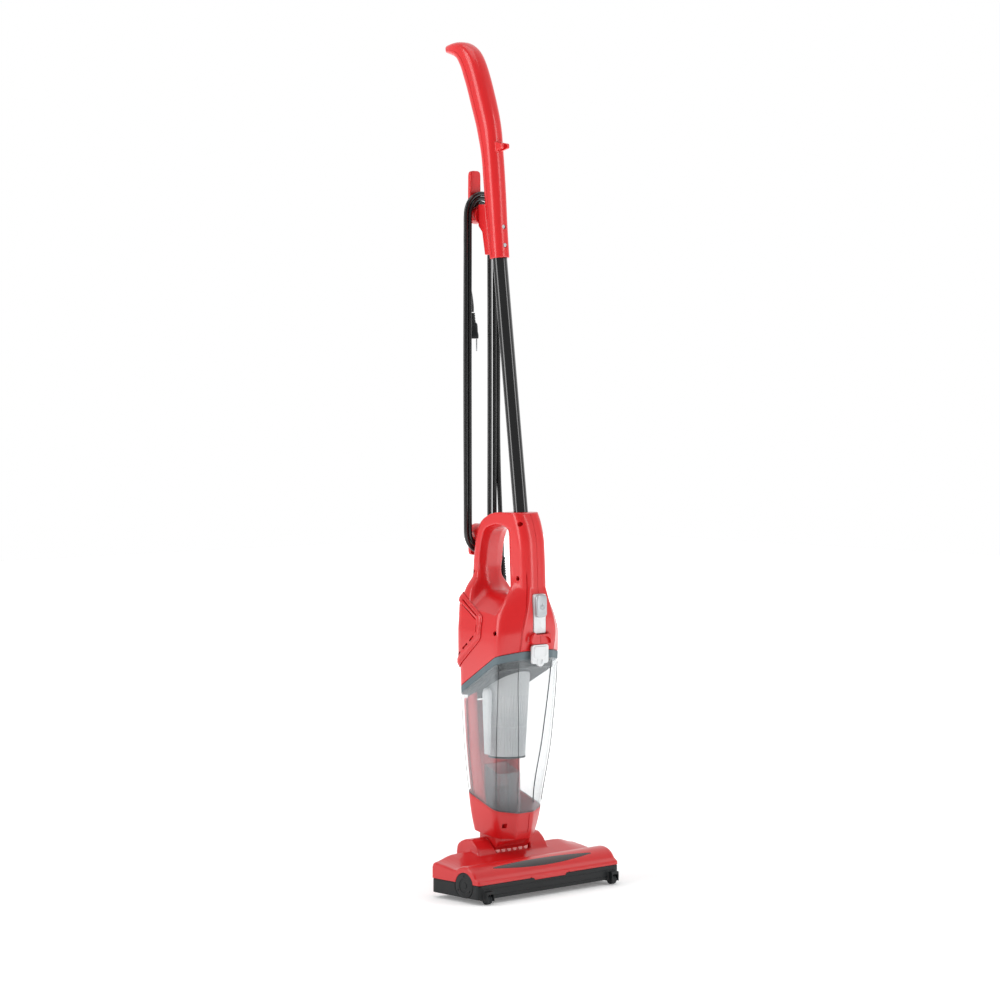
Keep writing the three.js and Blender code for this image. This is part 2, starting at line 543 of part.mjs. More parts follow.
function gripLoop() {
  const w = HOUSING.gripHalf;
  const outer = rounded([[-22, 372], [84, 372], [86, 400], [81, 452], [70, 476], [44, 491],
    [tubeY(492) - 21, 492],
    [tubeY(470) - 27, 470], [-23, 400]], [1, 1, 8, 24, 16, 14, 12, 14, 10], 3);
  // The opening flares towards the column, so the column stays round behind the tube.
  const holeRing = ([x, flare]) => rounded([[18 - flare, 384], [56, 388], [66, 412], [62, 448], [54, 468],
    [30, 474], [21 - flare, 468]], [8, 12, 14, 14, 10, 8, 6], 3).map(([y, z]) => [x, y, z]);
  const flares = [[-60, 16], [-w, 14], [-w + 5, 6], [-w + 11, 1.5], [0, 0], [w - 11, 1.5], [w - 5, 6], [w, 14],
    [60, 16]];
  const rings = GRIP.map(({ z, front, rear }) => rounded([[-w, front], [w, front], [w, rear], [-w, rear]],
    HOUSING.gripRound, 4).map(([x, y]) => [x, y, z]));
  const rim = loft(rings, 2).intersect(extrudeX(outer, -FAR, FAR));
  return { rim, hole: loft(flares.map(holeRing), 0) };
}

const SCREW_SPOTS = [[79, 412], [-8.5, 477], [-7, 407], [2, 337]];

function screwBore([y, z]) {
  return barX(-60, -6, y, z, SCREW.bore, 14).add(barX(-8, 8, y, z, SCREW.shank + GAP, 10));
}

function hoodShape() {
  const outline = rounded([[-HOOD.half, HOOD.low], [HOOD.half, HOOD.low], [HOOD.half, HOOD.high - 5],
    [HOOD.half - 5, HOOD.high], [-HOOD.half + 5, HOOD.high], [-HOOD.half, HOOD.high - 5]], 4, 3);
  return extrudeY(outline, HOOD.front, -20);
}

function housing() {
  const { rim, hole } = gripLoop();
  let body = bodySkin(0).add(rim).add(hoodShape()).subtract(hole);
  body = body.intersect(cutAbove(sealLine(0)));
  const room = block(-FAR, FAR, HOUSING.cavityFront, FAR, 0, HOUSING.cavityTop);
  const cavity = bodySkin(HOUSING.wall).intersect(room);
  const [bossY, bossZ] = SCREW_SPOTS[3];
  const boss = barX(-50.5, 50.5, bossY, bossZ, SCREW.bore + 1.2, 14);
  body = body.subtract(cavity).add(boss);
  body = body.subtract(bar(tubePoint(TUBE.bottom - 2), tubePoint(TUBE.z + 20), TUBE.radius + GAP));
  body = body.subtract(block(-SWITCH.half, SWITCH.half, -FAR, SWITCH.faceY, SWITCH.low, SWITCH.high));
  for (const z of [318, 332, 346]) {
    body = body.subtract(block(-FAR, FAR, 48, 66, z, z + 5));
  }
  const releaseY = tubeY(RELEASE.z) + TUBE.radius;
  body = body.subtract(barY(releaseY - 2, releaseY + 12, 0, RELEASE.z, RELEASE.half + GAP, 16));
  SCREW_SPOTS.forEach((spot) => { body = body.subtract(screwBore(spot)); });
  return body;
}

function exhaustCover() {
  const hexagon = rounded([[COVER.frontY, 328], [COVER.frontY, 357], [78, 385], [110, 388], [110, 284],
    [78, 287]].reverse(), 6, 2);
  let cover = bodySkin(-COVER.lift).subtract(bodySkin(-COVER.gap)).intersect(extrudeX(hexagon, -FAR, FAR));
  for (const z of [318, 332, 346]) cover = cover.subtract(block(-FAR, FAR, 50, 64, z + 0.5, z + 4.5));
  return cover.subtract(extrudeX([[60, 250], [110, 250], [110, 286], [60, 286]], -FAR, FAR));
}

function lowerHook() {
  const z = HOOK.lowZ;
  const rear = HOOK.ringY + CORD.layer / 2 + 2.5;
  const paddle = rounded([[-HOOK.paddle, z - 31], [HOOK.paddle, z - 31], [HOOK.paddle + 1, z + 9],
    [-HOOK.paddle - 1, z + 9]], 5, 3);
  const { rim } = gripLoop();
  return barY(76, rear + 1, 0, z, HOOK.lowPost).add(extrudeY(paddle, rear, rear + HOOK.paddleDepth))
    .subtract(rim).subtract(rim.translate([0, GAP, 0]));
}

function impeller() {
  const { radius, bottom, height, blades } = FAN;
  let fan = barZ(bottom, bottom + 2, 0, FILTER.y, radius).add(barZ(bottom, bottom + height, 0, FILTER.y, 8));
  for (let k = 0; k < blades; k += 1) {
    const blade = block(4, radius - 1, -0.8, 0.8, bottom + 1, bottom + height);
    fan = fan.add(blade.rotate([0, 0, 360 * k / blades]).translate([0, FILTER.y, 0]));
  }
  return fan.add(barZ(bottom, MOTOR.bottom + 18, 0, FILTER.y, MOTOR.shaft, 12));
}

function buildMotorUnit() {
  const whole = housing();
  add('housing_left', whole.intersect(half(-1)), 'red');
  add('housing_right', whole.intersect(half(1)), 'red');
  const ring = bodySkin(0).subtract(bodySkin(COLLAR.wall - GAP)).intersect(cutBelow(sealLine(-GAP)))
    .intersect(cutAbove(sealLine(-SEAL.height)));
  add('seal_ring', ring, 'seal');
  const collar = bodySkin(COLLAR.wall).intersect(cutBelow(sealLine(-1)))
    .intersect(cutAbove(sealLine(-SEAL.height - COLLAR.depth)));
  add('filter_collar', collar.subtract(barZ(0, FAR, 0, FILTER.y, COLLAR.bore)), 'black');
  const plate = bodySkin(HOUSING.wall + GAP).intersect(block(-FAR, FAR, HOUSING.cavityFront + GAP, FAR,
    MOTOR.plateZ, MOTOR.plateZ + MOTOR.plate));
  add('motor_plate', plate.subtract(barZ(0, FAR, 0, FILTER.y, MOTOR.shaft + 1)), 'black');
  const motor = turned([[0, MOTOR.bottom + 20], [MOTOR.shaft + GAP, MOTOR.bottom + 20],
    [MOTOR.shaft + GAP, MOTOR.bottom], [MOTOR.radius - 3, MOTOR.bottom], [MOTOR.radius - 3, MOTOR.bottom + 6],
    [MOTOR.radius, MOTOR.bottom + 8], [MOTOR.radius, MOTOR.top - 14], [MOTOR.radius - 12, MOTOR.top - 10],
    [MOTOR.radius - 16, MOTOR.top], [0, MOTOR.top]], 0, FILTER.y);
  add('vac_motor', motor, 'steel');
  add('impeller', impeller(), 'grey');
  add('exhaust_cover', exhaustCover(), 'red');
  add('exhaust_filter', block(-26, 26, 70, 74, 326, 366), 'grey');
  const face = SWITCH.faceY - GAP;
  add('switch_plate', block(-SWITCH.half + GAP, SWITCH.half - GAP, face - SWITCH.plate, face,
    SWITCH.low + GAP, SWITCH.high - GAP), 'silver');
  const cap = rounded([[-SWITCH.capHalf, SWITCH.capLow], [SWITCH.capHalf, SWITCH.capLow],
    [SWITCH.capHalf, SWITCH.capHigh], [-SWITCH.capHalf, SWITCH.capHigh]], 4, 3);
  const capBack = face - SWITCH.plate - GAP;
  add('power_switch', extrudeY(cap, capBack - SWITCH.capDepth, capBack), 'silver');
  add('lower_hook', lowerHook(), 'red');
  const releaseY = tubeY(RELEASE.z) + TUBE.radius + GAP + 2.2;
  const releaseEnd = releaseY + RELEASE.travelDepth + 4;
  add('wand_release', barY(releaseY, releaseEnd, 0, RELEASE.z, RELEASE.half, 16), 'black');
  const [ex, ey, ez] = CORD.exit;
  const sleeve = [[0, ez - 40], [6.5, ez - 40], [6.5, ez - 25], [4.6, ez - 3 - GAP], [0, ez - 3 - GAP]];
  add('strain_relief', turned(sleeve, ex, ey,
    16).subtract(bodySkin(-GAP)), 'black');
  SCREW_SPOTS.forEach(([y, z], k) => {
    const screw = barX(-6 - GAP - SCREW.headLength, -6 - GAP, y, z, SCREW.head, 12)
      .add(barX(-6 - GAP - 0.5, 7, y, z, SCREW.shank, 10));
    add(`housing_screw_${k + 1}`, screw, 'steel');
  });
}

// ---------------------------------------------------------------- filter
function buildFilter() {
  const under = cutBelow(sealLine(-SEAL.height - COLLAR.depth - 2 * GAP));
  const topZ = 300, low = FILTER.lowZ, wall = FILTER.wall;
  const outside = turned([[0, low], [FILTER.bottom, low], [FILTER.top, topZ], [0, topZ]], 0, FILTER.y, 32);
  const inside = turned([[0, low + wall], [FILTER.bottom - wall, low + wall], [FILTER.top - wall, topZ + 1],
    [0, topZ + 1]], 0, FILTER.y, 32);
  add('filter_screen', outside.subtract(inside).intersect(under), 'grey');
  const star = (z) => {
    const t = (z - low) / (topZ - low);
    const r = THREE.MathUtils.lerp(FILTER.bottom, FILTER.top, t) - wall - FILTER.core;
    const ring = [];
    for (let k = 0; k < FILTER.pleats * 2; k += 1) {
      const a = Math.PI * k / FILTER.pleats, reach = k % 2 ? r : r - FILTER.pleatDepth;
      ring.push([reach * Math.cos(a), FILTER.y + reach * Math.sin(a), z]);
    }
    return ring;
  };
  const pleats = loft([star(low + wall + 2), star(topZ)], 2)
    .subtract(barZ(low + 12, FAR, 0, FILTER.y, 12, 16));
  add('filter_pleats', pleats.intersect(under), 'grey');
}

// ---------------------------------------------------------------- wand
// Handle centreline from the sleeve up to the curled top: [y, z, half-width, half-depth].
const HANDLE = [
  [49.6, 821, 11.7, 11.7], [54, 862, 11.9, 12.6], [58.4, 908, 12.5, 13.7], [63, 953, 12.8, 14],
  [69.5, 990, 13.5, 16],
  [82, 1030, 14.5, 16.5], [94, 1062, 14.5, 16.5], [105, 1084, 14.5, 15.5], [119, 1096, 13.5, 12.2],
  [134, 1099, 11.5, 8.5], [146, 1099, 8.5, 5.5],
];
// The parting line's place behind the centreline, as a share of the half-depth.
const SEAM = 0.2;

const HANDLE_SIDES = 20;
const PRONG = { inner: 3, outer: 7, front: 38, rear: 54, low: 962, high: 970 };

function alongHandle(i) {
  const before = HANDLE[Math.max(i - 1, 0)], after = HANDLE[Math.min(i + 1, HANDLE.length - 1)];
  return new THREE.Vector2(after[0] - before[0], after[1] - before[1]).normalize();
}

function handleSolid() {
  const rings = HANDLE.map(([y, z, halfWidth, halfDepth], i) => {
    const along = alongHandle(i);
    return arc(0, 0, 1, 0, 360 - 360 / HANDLE_SIDES, HANDLE_SIDES - 1).map(([c, s]) => {
      const x = halfWidth * Math.sign(c) * Math.abs(c) ** 0.75;
      const across = halfDepth * Math.sign(s) * Math.abs(s) ** 0.75;
      return [x, y + across * along.y, z - across * along.x];
    });
  });
  const prong = (x0, x1) => block(x0, x1, PRONG.front, PRONG.rear, PRONG.low, PRONG.high);
  return loft(rings, 1).add(prong(PRONG.inner, PRONG.outer)).add(prong(-PRONG.outer, -PRONG.inner));
}

// Everything behind the parting line of the handle's two shells, moved by shift.
function behindSeam(shift) {
  const line = HANDLE.map(([y, z, , halfDepth], i) => {
    const along = alongHandle(i), across = SEAM * halfDepth + shift;
    return [y + across * along.y, z - across * along.x];
  });
  const [lowY, lowZ] = line[0], [highY, highZ] = line[line.length - 1];
  return extrudeX([[lowY, lowZ - 30], ...line, [highY + 20, highZ - 1], [FAR, highZ - 1], [FAR, lowZ - 30]],
    -FAR, FAR);
}

function wandTube() {
  const outer = bar(tubePoint(TUBE.bottom), tubePoint(TUBE.top), TUBE.radius);
  const bore = bar(tubePoint(TUBE.bottom - 9), tubePoint(TUBE.top + 9), TUBE.radius - TUBE.wall);
  const tube = outer.subtract(bore);
  return SLEEVE_SCREWS.reduce((cut, z) => cut.subtract(barY(tubeY(z) - TUBE.radius - 5, tubeY(z), 0, z,
    SCREW.shank + GAP, 10)), tube);
}

function sleeveScrew(z) {
  const face = tubeY(z) - TUBE.radius - GAP;
  return barY(face - SCREW.seat - SCREW.headLength, face - SCREW.seat, 0, z, SCREW.head, 12)
    .add(barY(face - SCREW.seat - 0.5, face + 6, 0, z, SCREW.shank, 10));
}

function buildWand() {
  add('wand_tube', wandTube(), 'gloss');
  const socket = bar(tubePoint(TUBE.bottom), tubePoint(TUBE.top + 1), TUBE.radius + GAP);
  let handle = handleSolid().subtract(socket);
  handle = handle.subtract(barZ(HANG.low, HANG.high, 0, HANG.y, HANG.radius, 16));
  for (const z of SLEEVE_SCREWS) {
    const face = tubeY(z) - TUBE.radius - GAP;
    handle = handle.subtract(barY(face - 20, face - SCREW.seat + GAP, 0, z, SCREW.bore, 14))
      .subtract(barY(face - 5, face + 5, 0, z, SCREW.shank + GAP, 10));
  }
  add('handle_front', handle.subtract(behindSeam(-GAP / 2)), 'red');
  add('handle_rear', handle.intersect(behindSeam(GAP / 2)), 'red');
  SLEEVE_SCREWS.forEach((z, k) => add(`handle_screw_${k + 1}`, sleeveScrew(z), 'steel'));
  const clear = handleSolid().add(handleSolid().translate([0, GAP, 0]))
    .add(handleSolid().translate([0, GAP, -GAP]));
  add('hook_bracket', extrudeX([...RAIL].reverse(), -RAIL_HALF, RAIL_HALF).subtract(clear), 'red');
  const postY = HOOK.ringY - CORD.layer / 2 - 1, rear = HOOK.ringY + CORD.layer / 2 + 2.5;
  const z = HOOK.highZ;
  const paddle = rounded([[-HOOK.paddle - 1, z - 10], [HOOK.paddle + 1, z - 10], [HOOK.paddle, z + 59],
    [-HOOK.paddle, z + 59]], 6, 4);
  add('cord_hook', barY(postY, rear + 1, 0, z, HOOK.highPost)
    .add(extrudeY(paddle, rear, rear + HOOK.paddleDepth)), 'red');
}

// ---------------------------------------------------------------- cord
function cordTube(points, radius, steps) {
  const path = new THREE.CatmullRomCurve3(points.map((p) => new THREE.Vector3(...p)), false, 'centripetal');
  const section = new THREE.Shape(arc(0, 0, radius, 0, 324, 9).map(([x, y]) => new THREE.Vector2(x, y)));
  return solid(new THREE.ExtrudeGeometry(section, { steps, bevelEnabled: false, extrudePath: path }));
}

const LEAD_POINTS = [[29, 76.5, 429], [29, 76.6, 440], [29.2, 77.2, 452], [29.6, 78.4, 463], [30, 79.4, 470]];
const TAIL_POINTS = [
  [-14.5, 99.1, 862], [-14.4, 99.4, 840], [-13, 99.8, 815], [-8, 101.2, 790],
  [-2.5, 102.8, 770], [0, 103.5, 752],
];
const PLUG = {
  turn: 47, gap: 1, halfWidth: 9, halfDepth: 6, length: 20, neck: 14,
  bladeGap: 6.35, bladeHalf: 3.2, bladeLength: 16, bladeThickness: 1.6,
};

// The winding's outline round both hooks; the runs on the right stand further out than those on the left.
function windingOutline(right, left) {
  const end = (z, from, to) => arc(0, 0, 1, from, to, 10).map(([c, s]) => {
    const reach = THREE.MathUtils.lerp(left, right, (1 + c) / 2);
    return [reach * c, z + reach * s];
  });
  return [...end(HOOK.highZ, 0, 180), ...end(HOOK.lowZ, 180, 360)];
}

function buildCord() {
  const radius = CORD.diameter / 2;
  add('cord_lead', cordTube(LEAD_POINTS, radius, 6), 'gloss');
  const y0 = HOOK.ringY - CORD.layer / 2, y1 = HOOK.ringY + CORD.layer / 2;
  const ring = extrudeY(windingOutline(CORD.outerRight, CORD.outerLeft), y0, y1);
  const hole = extrudeY(windingOutline(CORD.inner, CORD.inner), y0 - 1, y1 + 1);
  add('cord_winding', ring.subtract(hole), 'gloss');
  add('cord_tail', cordTube(TAIL_POINTS, radius, 10), 'gloss');
  const [px, py, pz] = TAIL_POINTS[TAIL_POINTS.length - 1];
  const top = pz - PLUG.gap;
  const face = top - PLUG.neck - PLUG.length;
  const turnedPlug = (body) => body.rotate([0, 0, PLUG.turn]).translate([px, py, 0]);
  const neckPart = turned([[0, top - PLUG.neck], [5.4, top - PLUG.neck], [4.2, top], [0, top]], 0, 0, 12);
  const { halfDepth, halfWidth } = PLUG;
  const grip = block(-halfDepth, halfDepth, -halfWidth, halfWidth, face, top - PLUG.neck + 1);
  add('plug_body', turnedPlug(neckPart.add(grip)), 'black');
  for (const [side, name] of [[-1, 'front'], [1, 'rear']]) {
    const y = side * PLUG.bladeGap;
    add(`plug_blade_${name}`, turnedPlug(block(-PLUG.bladeHalf, PLUG.bladeHalf, y - PLUG.bladeThickness / 2,
      y + PLUG.bladeThickness / 2,
      face - GAP - PLUG.bladeLength, face - GAP)), 'brass');
  }
}

buildFloorHead();
add('neck', neck(), 'red');
buildDustCup();
buildMotorUnit();
buildFilter();
buildWand();
buildCord();

// The origin is on the floor under the middle of everything but the cord.
const solidBox = new THREE.Box3();
vacuum.children.filter((mesh) => !/^(cord_(lead|winding|tail)|plug_)/.test(mesh.name))
  .forEach((mesh) => solidBox.expandByObject(mesh));
const middle = solidBox.getCenter(new THREE.Vector3());
vacuum.position.set(-middle.x, -middle.y, -solidBox.min.z);

export default vacuum;
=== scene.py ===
import json
from math import copysign, cos, pi, radians, sin, sqrt

import bmesh
import bpy
import numpy as np
from mathutils import Matrix, Vector


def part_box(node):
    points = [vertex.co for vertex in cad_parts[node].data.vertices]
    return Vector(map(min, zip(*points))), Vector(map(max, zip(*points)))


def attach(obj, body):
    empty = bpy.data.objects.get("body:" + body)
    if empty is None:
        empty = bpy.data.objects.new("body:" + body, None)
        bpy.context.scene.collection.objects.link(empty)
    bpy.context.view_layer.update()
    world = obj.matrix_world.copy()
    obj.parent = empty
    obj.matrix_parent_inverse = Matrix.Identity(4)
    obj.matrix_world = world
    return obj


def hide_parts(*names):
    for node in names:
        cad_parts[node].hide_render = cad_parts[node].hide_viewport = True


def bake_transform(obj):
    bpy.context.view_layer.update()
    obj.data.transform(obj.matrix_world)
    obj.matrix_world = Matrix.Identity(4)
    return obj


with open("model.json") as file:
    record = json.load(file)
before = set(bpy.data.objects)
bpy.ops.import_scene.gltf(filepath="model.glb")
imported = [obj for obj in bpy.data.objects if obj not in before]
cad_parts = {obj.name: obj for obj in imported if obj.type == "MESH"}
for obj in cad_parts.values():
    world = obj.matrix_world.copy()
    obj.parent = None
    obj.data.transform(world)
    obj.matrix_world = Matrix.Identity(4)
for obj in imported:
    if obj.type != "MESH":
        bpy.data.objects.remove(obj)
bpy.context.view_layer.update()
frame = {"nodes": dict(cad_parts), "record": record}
scene = bpy.context.scene

# ---- the part's own millimetres
# Sizes below are in the part's own millimetres, with the floor head's middle at y = 0; place() takes them
# to the row frame in metres.
MM = 0.001
PIVOT_Y = 45.0
pin_low, pin_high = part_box("pivot_pin_left")
SHIFT_Y = (pin_low.y + pin_high.y) / 2 - PIVOT_Y * MM
FAR = 400.0

TUBE = {"radius": 9.5, "wall": 1.0, "bottom": 432.0, "top": 888.0, "y": 11.5, "z": 509.0, "lean": 0.1207}
HOOK = {"low_z": 463.0, "high_z": 878.0, "ring_y": 89.5}
CORD_DIAMETER = 6.0
CORD_EXIT = (29.0, 76.5, 429.0)


def place(points):
    """Points in the part's millimetres as rows in the row frame, in metres."""
    rows = np.array(points, float).reshape(-1, 3) * MM
    rows[:, 1] += SHIFT_Y
    return rows


def spot(x, y, z):
    """One point in the part's millimetres as a tuple in metres."""
    return tuple(place([(x, y, z)])[0])


def tube_y(z):
    return TUBE["y"] + TUBE["lean"] * (z - TUBE["z"])


def add_object(name, data):
    made = bpy.data.objects.new(name, data)
    scene.collection.objects.link(made)
    return made


# ---- camera
AZIMUTH, ELEVATION = radians(-43.0), radians(2.5)
TARGET = spot(0, 49, 506)
DISTANCE = 3.87
LENS = 106.56

back = Vector((sin(AZIMUTH) * cos(ELEVATION), -cos(AZIMUTH) * cos(ELEVATION),
               sin(ELEVATION)))
camera = add_object("camera", bpy.data.cameras.new("camera"))
camera.data.lens = LENS
camera.data.sensor_width = 36.0
camera.data.clip_end = 50.0
camera.location = Vector(TARGET) + back * DISTANCE
camera.rotation_euler = (-back).to_track_quat("-Z", "Y").to_euler()
scene.camera = camera


# ---- materials
def linear(r, g, b):
    """An sRGB colour of 0 to 255 as linear RGBA."""
    def channel(value):
        value /= 255
        return value / 12.92 if value <= 0.04045 else ((value + 0.055) / 1.055) ** 2.4
    return (channel(r), channel(g), channel(b), 1.0)


def set_inputs(node, **values):
    """Sets a node's inputs; an underscore stands for each space in a name."""
    for name, value in values.items():
        node.inputs[name.replace("_", " ")].default_value = value


def add_node(tree, kind, source=None, into=None, **values):
    """A new shader node with its inputs set and source linked into one of them."""
    made = tree.nodes.new("ShaderNode" + kind)
    set_inputs(made, **values)
    if source is not None:
        tree.links.new(source, made.inputs[into])
    return made


def material(name, light, dark, roughness, grain=900.0, bump=0.02, patch=14.0, spread=0.06, stretch=(1, 1, 1),
             metallic=0.0, coat=0.0, specular=0.5, ior=1.46):
    """Moulded plastic, rubber or metal: a colour that drifts between light and dark over patches, roughness that
    varies with it, and a fine moulded grain."""
    made = bpy.data.materials.new(name)
    made.use_nodes = True
    tree = made.node_tree
    shader = tree.nodes["Principled BSDF"]
    set_inputs(shader, Metallic=metallic, Coat_Weight=coat, Coat_Roughness=0.05, Specular_IOR_Level=specular, IOR=ior)
    where = add_node(tree, "TexCoord").outputs["Object"]
    mapped = add_node(tree, "Mapping", where, "Vector", Scale=stretch).outputs["Vector"]
    drift, smudge, speckle = (
        add_node(tree, "TexNoise", mapped, "Vector", Scale=scale, Detail=detail).outputs["Fac"]
        for scale, detail in ((patch, 4.0), (patch * 6, 6.0), (grain, 3.0)))
    colours = add_node(tree, "ValToRGB", drift, "Fac")
    for stop, at, colour in zip(colours.color_ramp.elements, (0.35, 0.62), (dark, light)):
        stop.position = at
        stop.color = linear(*colour)
    varied = add_node(tree, "MapRange", smudge, "Value", To_Min=max(roughness - spread, 0.0),
                      To_Max=min(roughness + spread, 1.0))
    relief = add_node(tree, "Bump", speckle, "Height", Strength=bump, Distance=0.0004)
    for source, into in ((colours.outputs["Color"], "Base Color"), (varied.outputs["Result"], "Roughness"),
                         (relief.outputs["Normal"], "Normal")):
        tree.links.new(source, shader.inputs[into])
    return made


RED = material("red_plastic", (208, 26, 29), (200, 21, 25), 0.3, grain=700, bump=0.012, patch=5, spread=0.03, coat=0.3)
PALE = material("pale_red_plastic", (248, 176, 172), (240, 160, 158), 0.35, bump=0.03)
BLACK = material("black_plastic", (24, 27, 29), (16, 19, 20), 0.4, grain=1100, bump=0.08, specular=0.35)
# Painted light: a rose lighter than the red, standing in for light shining through the thin red wall behind the filter.
ROSE_PAINTED_GLOW = material("rose_painted_backlight", (240, 96, 96), (228, 80, 82), 0.35, bump=0.03, patch=6)
# Painted shade: a near-black finish for the lines that stand in for the dark look of the clear shell's edges.
SHADE_LINE_PAINT = material("painted_edge_shade", (20, 21, 22), (12, 13, 14), 0.55, grain=1100, bump=0.06)
SMOKE = material("smoked_plastic", (52, 36, 36), (38, 26, 27), 0.13, grain=500, bump=0.01, coat=0.4)
CLEAR = material("clear_plastic", (196, 203, 206), (188, 196, 200), 0.05, grain=240, bump=0.006, spread=0.02, ior=1.5)


def sheer(made, least, most):
    """Lets what lies behind show through a thin clear wall, less so where the wall is seen edge-on."""
    tree = made.node_tree
    facing = add_node(tree, "LayerWeight", Blend=0.3)
    veil = add_node(tree, "MapRange", facing.outputs["Facing"], "Value", To_Min=least, To_Max=most)
    tree.links.new(veil.outputs["Result"], tree.nodes["Principled BSDF"].inputs["Alpha"])


sheer(CLEAR, 0.07, 0.62)
SEAL_GREY = material("seal_rubber", (98, 113, 119), (84, 98, 104), 0.62, grain=1400, bump=0.12)
GREY = material("grey_plastic", (200, 202, 203), (182, 185, 187), 0.5, grain=1000, bump=0.08)
PAPER = material("filter_paper", (226, 226, 222), (204, 204, 200), 0.85, grain=1800, bump=0.35, specular=0.2)
SILVER = material("silver_plastic", (186, 190, 193), (166, 170, 174), 0.24, grain=1500, bump=0.03, metallic=0.35)
WHITE = material("white_plastic", (226, 228, 229), (212, 215, 217), 0.3, bump=0.03)
STEEL = material("steel", (176, 178, 180), (150, 152, 155), 0.32, grain=1500, bump=0.06, metallic=1.0)
BRASS = material("brass", (214, 182, 112), (190, 158, 92), 0.28, grain=1500, bump=0.05, metallic=1.0)
RUBBER = material("rubber", (44, 48, 50), (34, 37, 39), 0.78, grain=1300, bump=0.22)
GLOSS = material("black_gloss_tube", (15, 16, 17), (9, 10, 11), 0.12, grain=400, bump=0.008, coat=0.6)
JACKET = material("cord_jacket", (20, 21, 22), (13, 14, 15), 0.26, bump=0.05, coat=0.2)
BRISTLE = material("brush_bristle", (36, 38, 42), (22, 24, 27), 0.6, grain=2600, bump=0.5, stretch=(4, 1, 1))


# ---- mesh tools, in the part's millimetres
def piece(name, points, faces):
    """A closed mesh piece from points in the part's millimetres."""
    mesh = bpy.data.meshes.new(name)
    mesh.from_pydata(place(points).tolist(), [], [tuple(int(v) for v in f) for f in faces])
    work = bmesh.new()
    work.from_mesh(mesh)
    bmesh.ops.recalc_face_normals(work, faces=work.faces)
    work.to_mesh(mesh)
    work.free()
    return add_object(name, mesh)


def modify(obj, kind, **settings):
    """Applies one modifier with these settings to obj."""
    step = obj.modifiers.new(kind, kind)
    for name, value in settings.items():
        setattr(step, name, value)
    bpy.context.view_layer.update()
    graph = bpy.context.evaluated_depsgraph_get()
    mesh = bpy.data.meshes.new_from_object(obj.evaluated_get(graph))
    obj.modifiers.clear()
    old, obj.data = obj.data, mesh
    bpy.data.meshes.remove(old)
    return obj


def combine(obj, others, operation):
    """Joins others to obj, or cuts it with them, and removes them."""
    for other in others:
        modify(obj, "BOOLEAN", operation=operation, solver="MANIFOLD", object=other)
        if not obj.data.polygons:
            raise RuntimeError(f"{obj.name} vanished at {operation} with {other.name}")
        bpy.data.objects.remove(other)
    return obj


def join(obj, *others):
    return combine(obj, others, "UNION")


def cut(obj, *others):
    return combine(obj, others, "DIFFERENCE")


def keep(obj, *others):
    return combine(obj, others, "INTERSECT")


def soften(obj, voxel, passes):
    """Gives every edge of a closed piece a moulded round: an even mesh of that voxel in millimetres, smoothed."""
    modify(obj, "REMESH", mode="VOXEL", voxel_size=voxel * MM)
    return modify(obj, "SMOOTH", factor=0.5, iterations=passes)


def melt(obj, share, passes):
    """Smooths obj where share(points in millimetres) is above 0, for a wide fillet."""
    mesh = obj.data
    co = np.empty(len(mesh.vertices) * 3)
    mesh.vertices.foreach_get("co", co)
    points = co.reshape(-1, 3) / MM
    points[:, 1] -= SHIFT_Y / MM
    weights = np.clip(share(points), 0, 1)
    group = obj.vertex_groups.new(name="melt")
    for level in range(1, 11):
        chosen = np.nonzero(np.round(weights * 10) == level)[0].tolist()
        if chosen:
            group.add(chosen, level / 10, "REPLACE")
    modify(obj, "SMOOTH", factor=0.5, iterations=passes, vertex_group="melt")
    obj.vertex_groups.clear()
    return obj


def finish(obj, body, finish_with, stands_for=(), sharp=32.0):
    """Smooth shading, the finish, the body it rides on and the CAD nodes it stands for."""
    obj.data.shade_smooth()
    obj.data.set_sharp_from_angle(angle=radians(sharp))
    obj.data.materials.clear()
    obj.data.materials.append(finish_with)
    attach(obj, body)
    if stands_for:
        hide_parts(*stands_for)
    return obj


def loft(name, rings):
    """A skin over closed rings of equal count, capped at both ends."""
    count = len(rings[0])
    faces = [tuple(range(count))[::-1], tuple(range((len(rings) - 1) * count, len(rings) * count))]
    for r in range(len(rings) - 1):
        for i in range(count):
            j = (i + 1) % count
            faces.append((r * count + i, r * count + j, (r + 1) * count + j, (r + 1) * count + i))
    return piece(name, [p for ring in rings for p in ring], faces)


def level(axis, outline, w):
    """An outline of (u, v) pairs set at w along axis 0, 1 or 2; u and v are the other two axes in order."""
    rows = [list(pair) for pair in outline]
    for row in rows:
        row.insert(axis, w)
    return rows


def prism(name, outline, axis, low, high):
    """An outline drawn out along an axis."""
    return loft(name, [level(axis, outline, w) for w in (low, high)])


def rect(u0, u1, v0, v1, radii=0, steps=7):
    """A rectangle's outline, with its corners rounded where radii are given."""
    return rounded([(u0, v0), (u1, v0), (u1, v1), (u0, v1)], radii, steps)


def block(name, x0, x1, y0, y1, z0, z1):
    return prism(name, rect(x0, x1, y0, y1), 2, z0, z1)


def polar(cx, cy, radius, a):
    return cx + radius * cos(a), cy + radius * sin(a)


def arc(cx, cy, radius, start, end, steps):
    return [polar(cx, cy, radius, radians(start + (end - start) * k / steps)) for k in range(steps + 1)]


def circle(cx, cy, radius, sides=48):
    return arc(cx, cy, radius, 0, 360 - 360 / sides, sides - 1)


def bar(name, axis, low, high, u, v, radius, sides=48):
    """A round bar along an axis, between low and high, about (u, v)."""
    return prism(name, circle(u, v, radius, sides), axis, low, high)


def side_bar(name, side, inner, outer, y, z, radius, sides):
    """A round bar along X, between inner and outer on one side of the middle."""
    return bar(name, 0, *sorted((side * inner, side * outer)), y, z, radius, sides)


def turned(name, profile, x, y, sides=48):
    """A turned piece about the vertical through (x, y); the profile is rows of (radius, z), from end to end."""
    return loft(name, [level(2, circle(x, y, max(r, 0.02), sides), z) for r, z in profile])


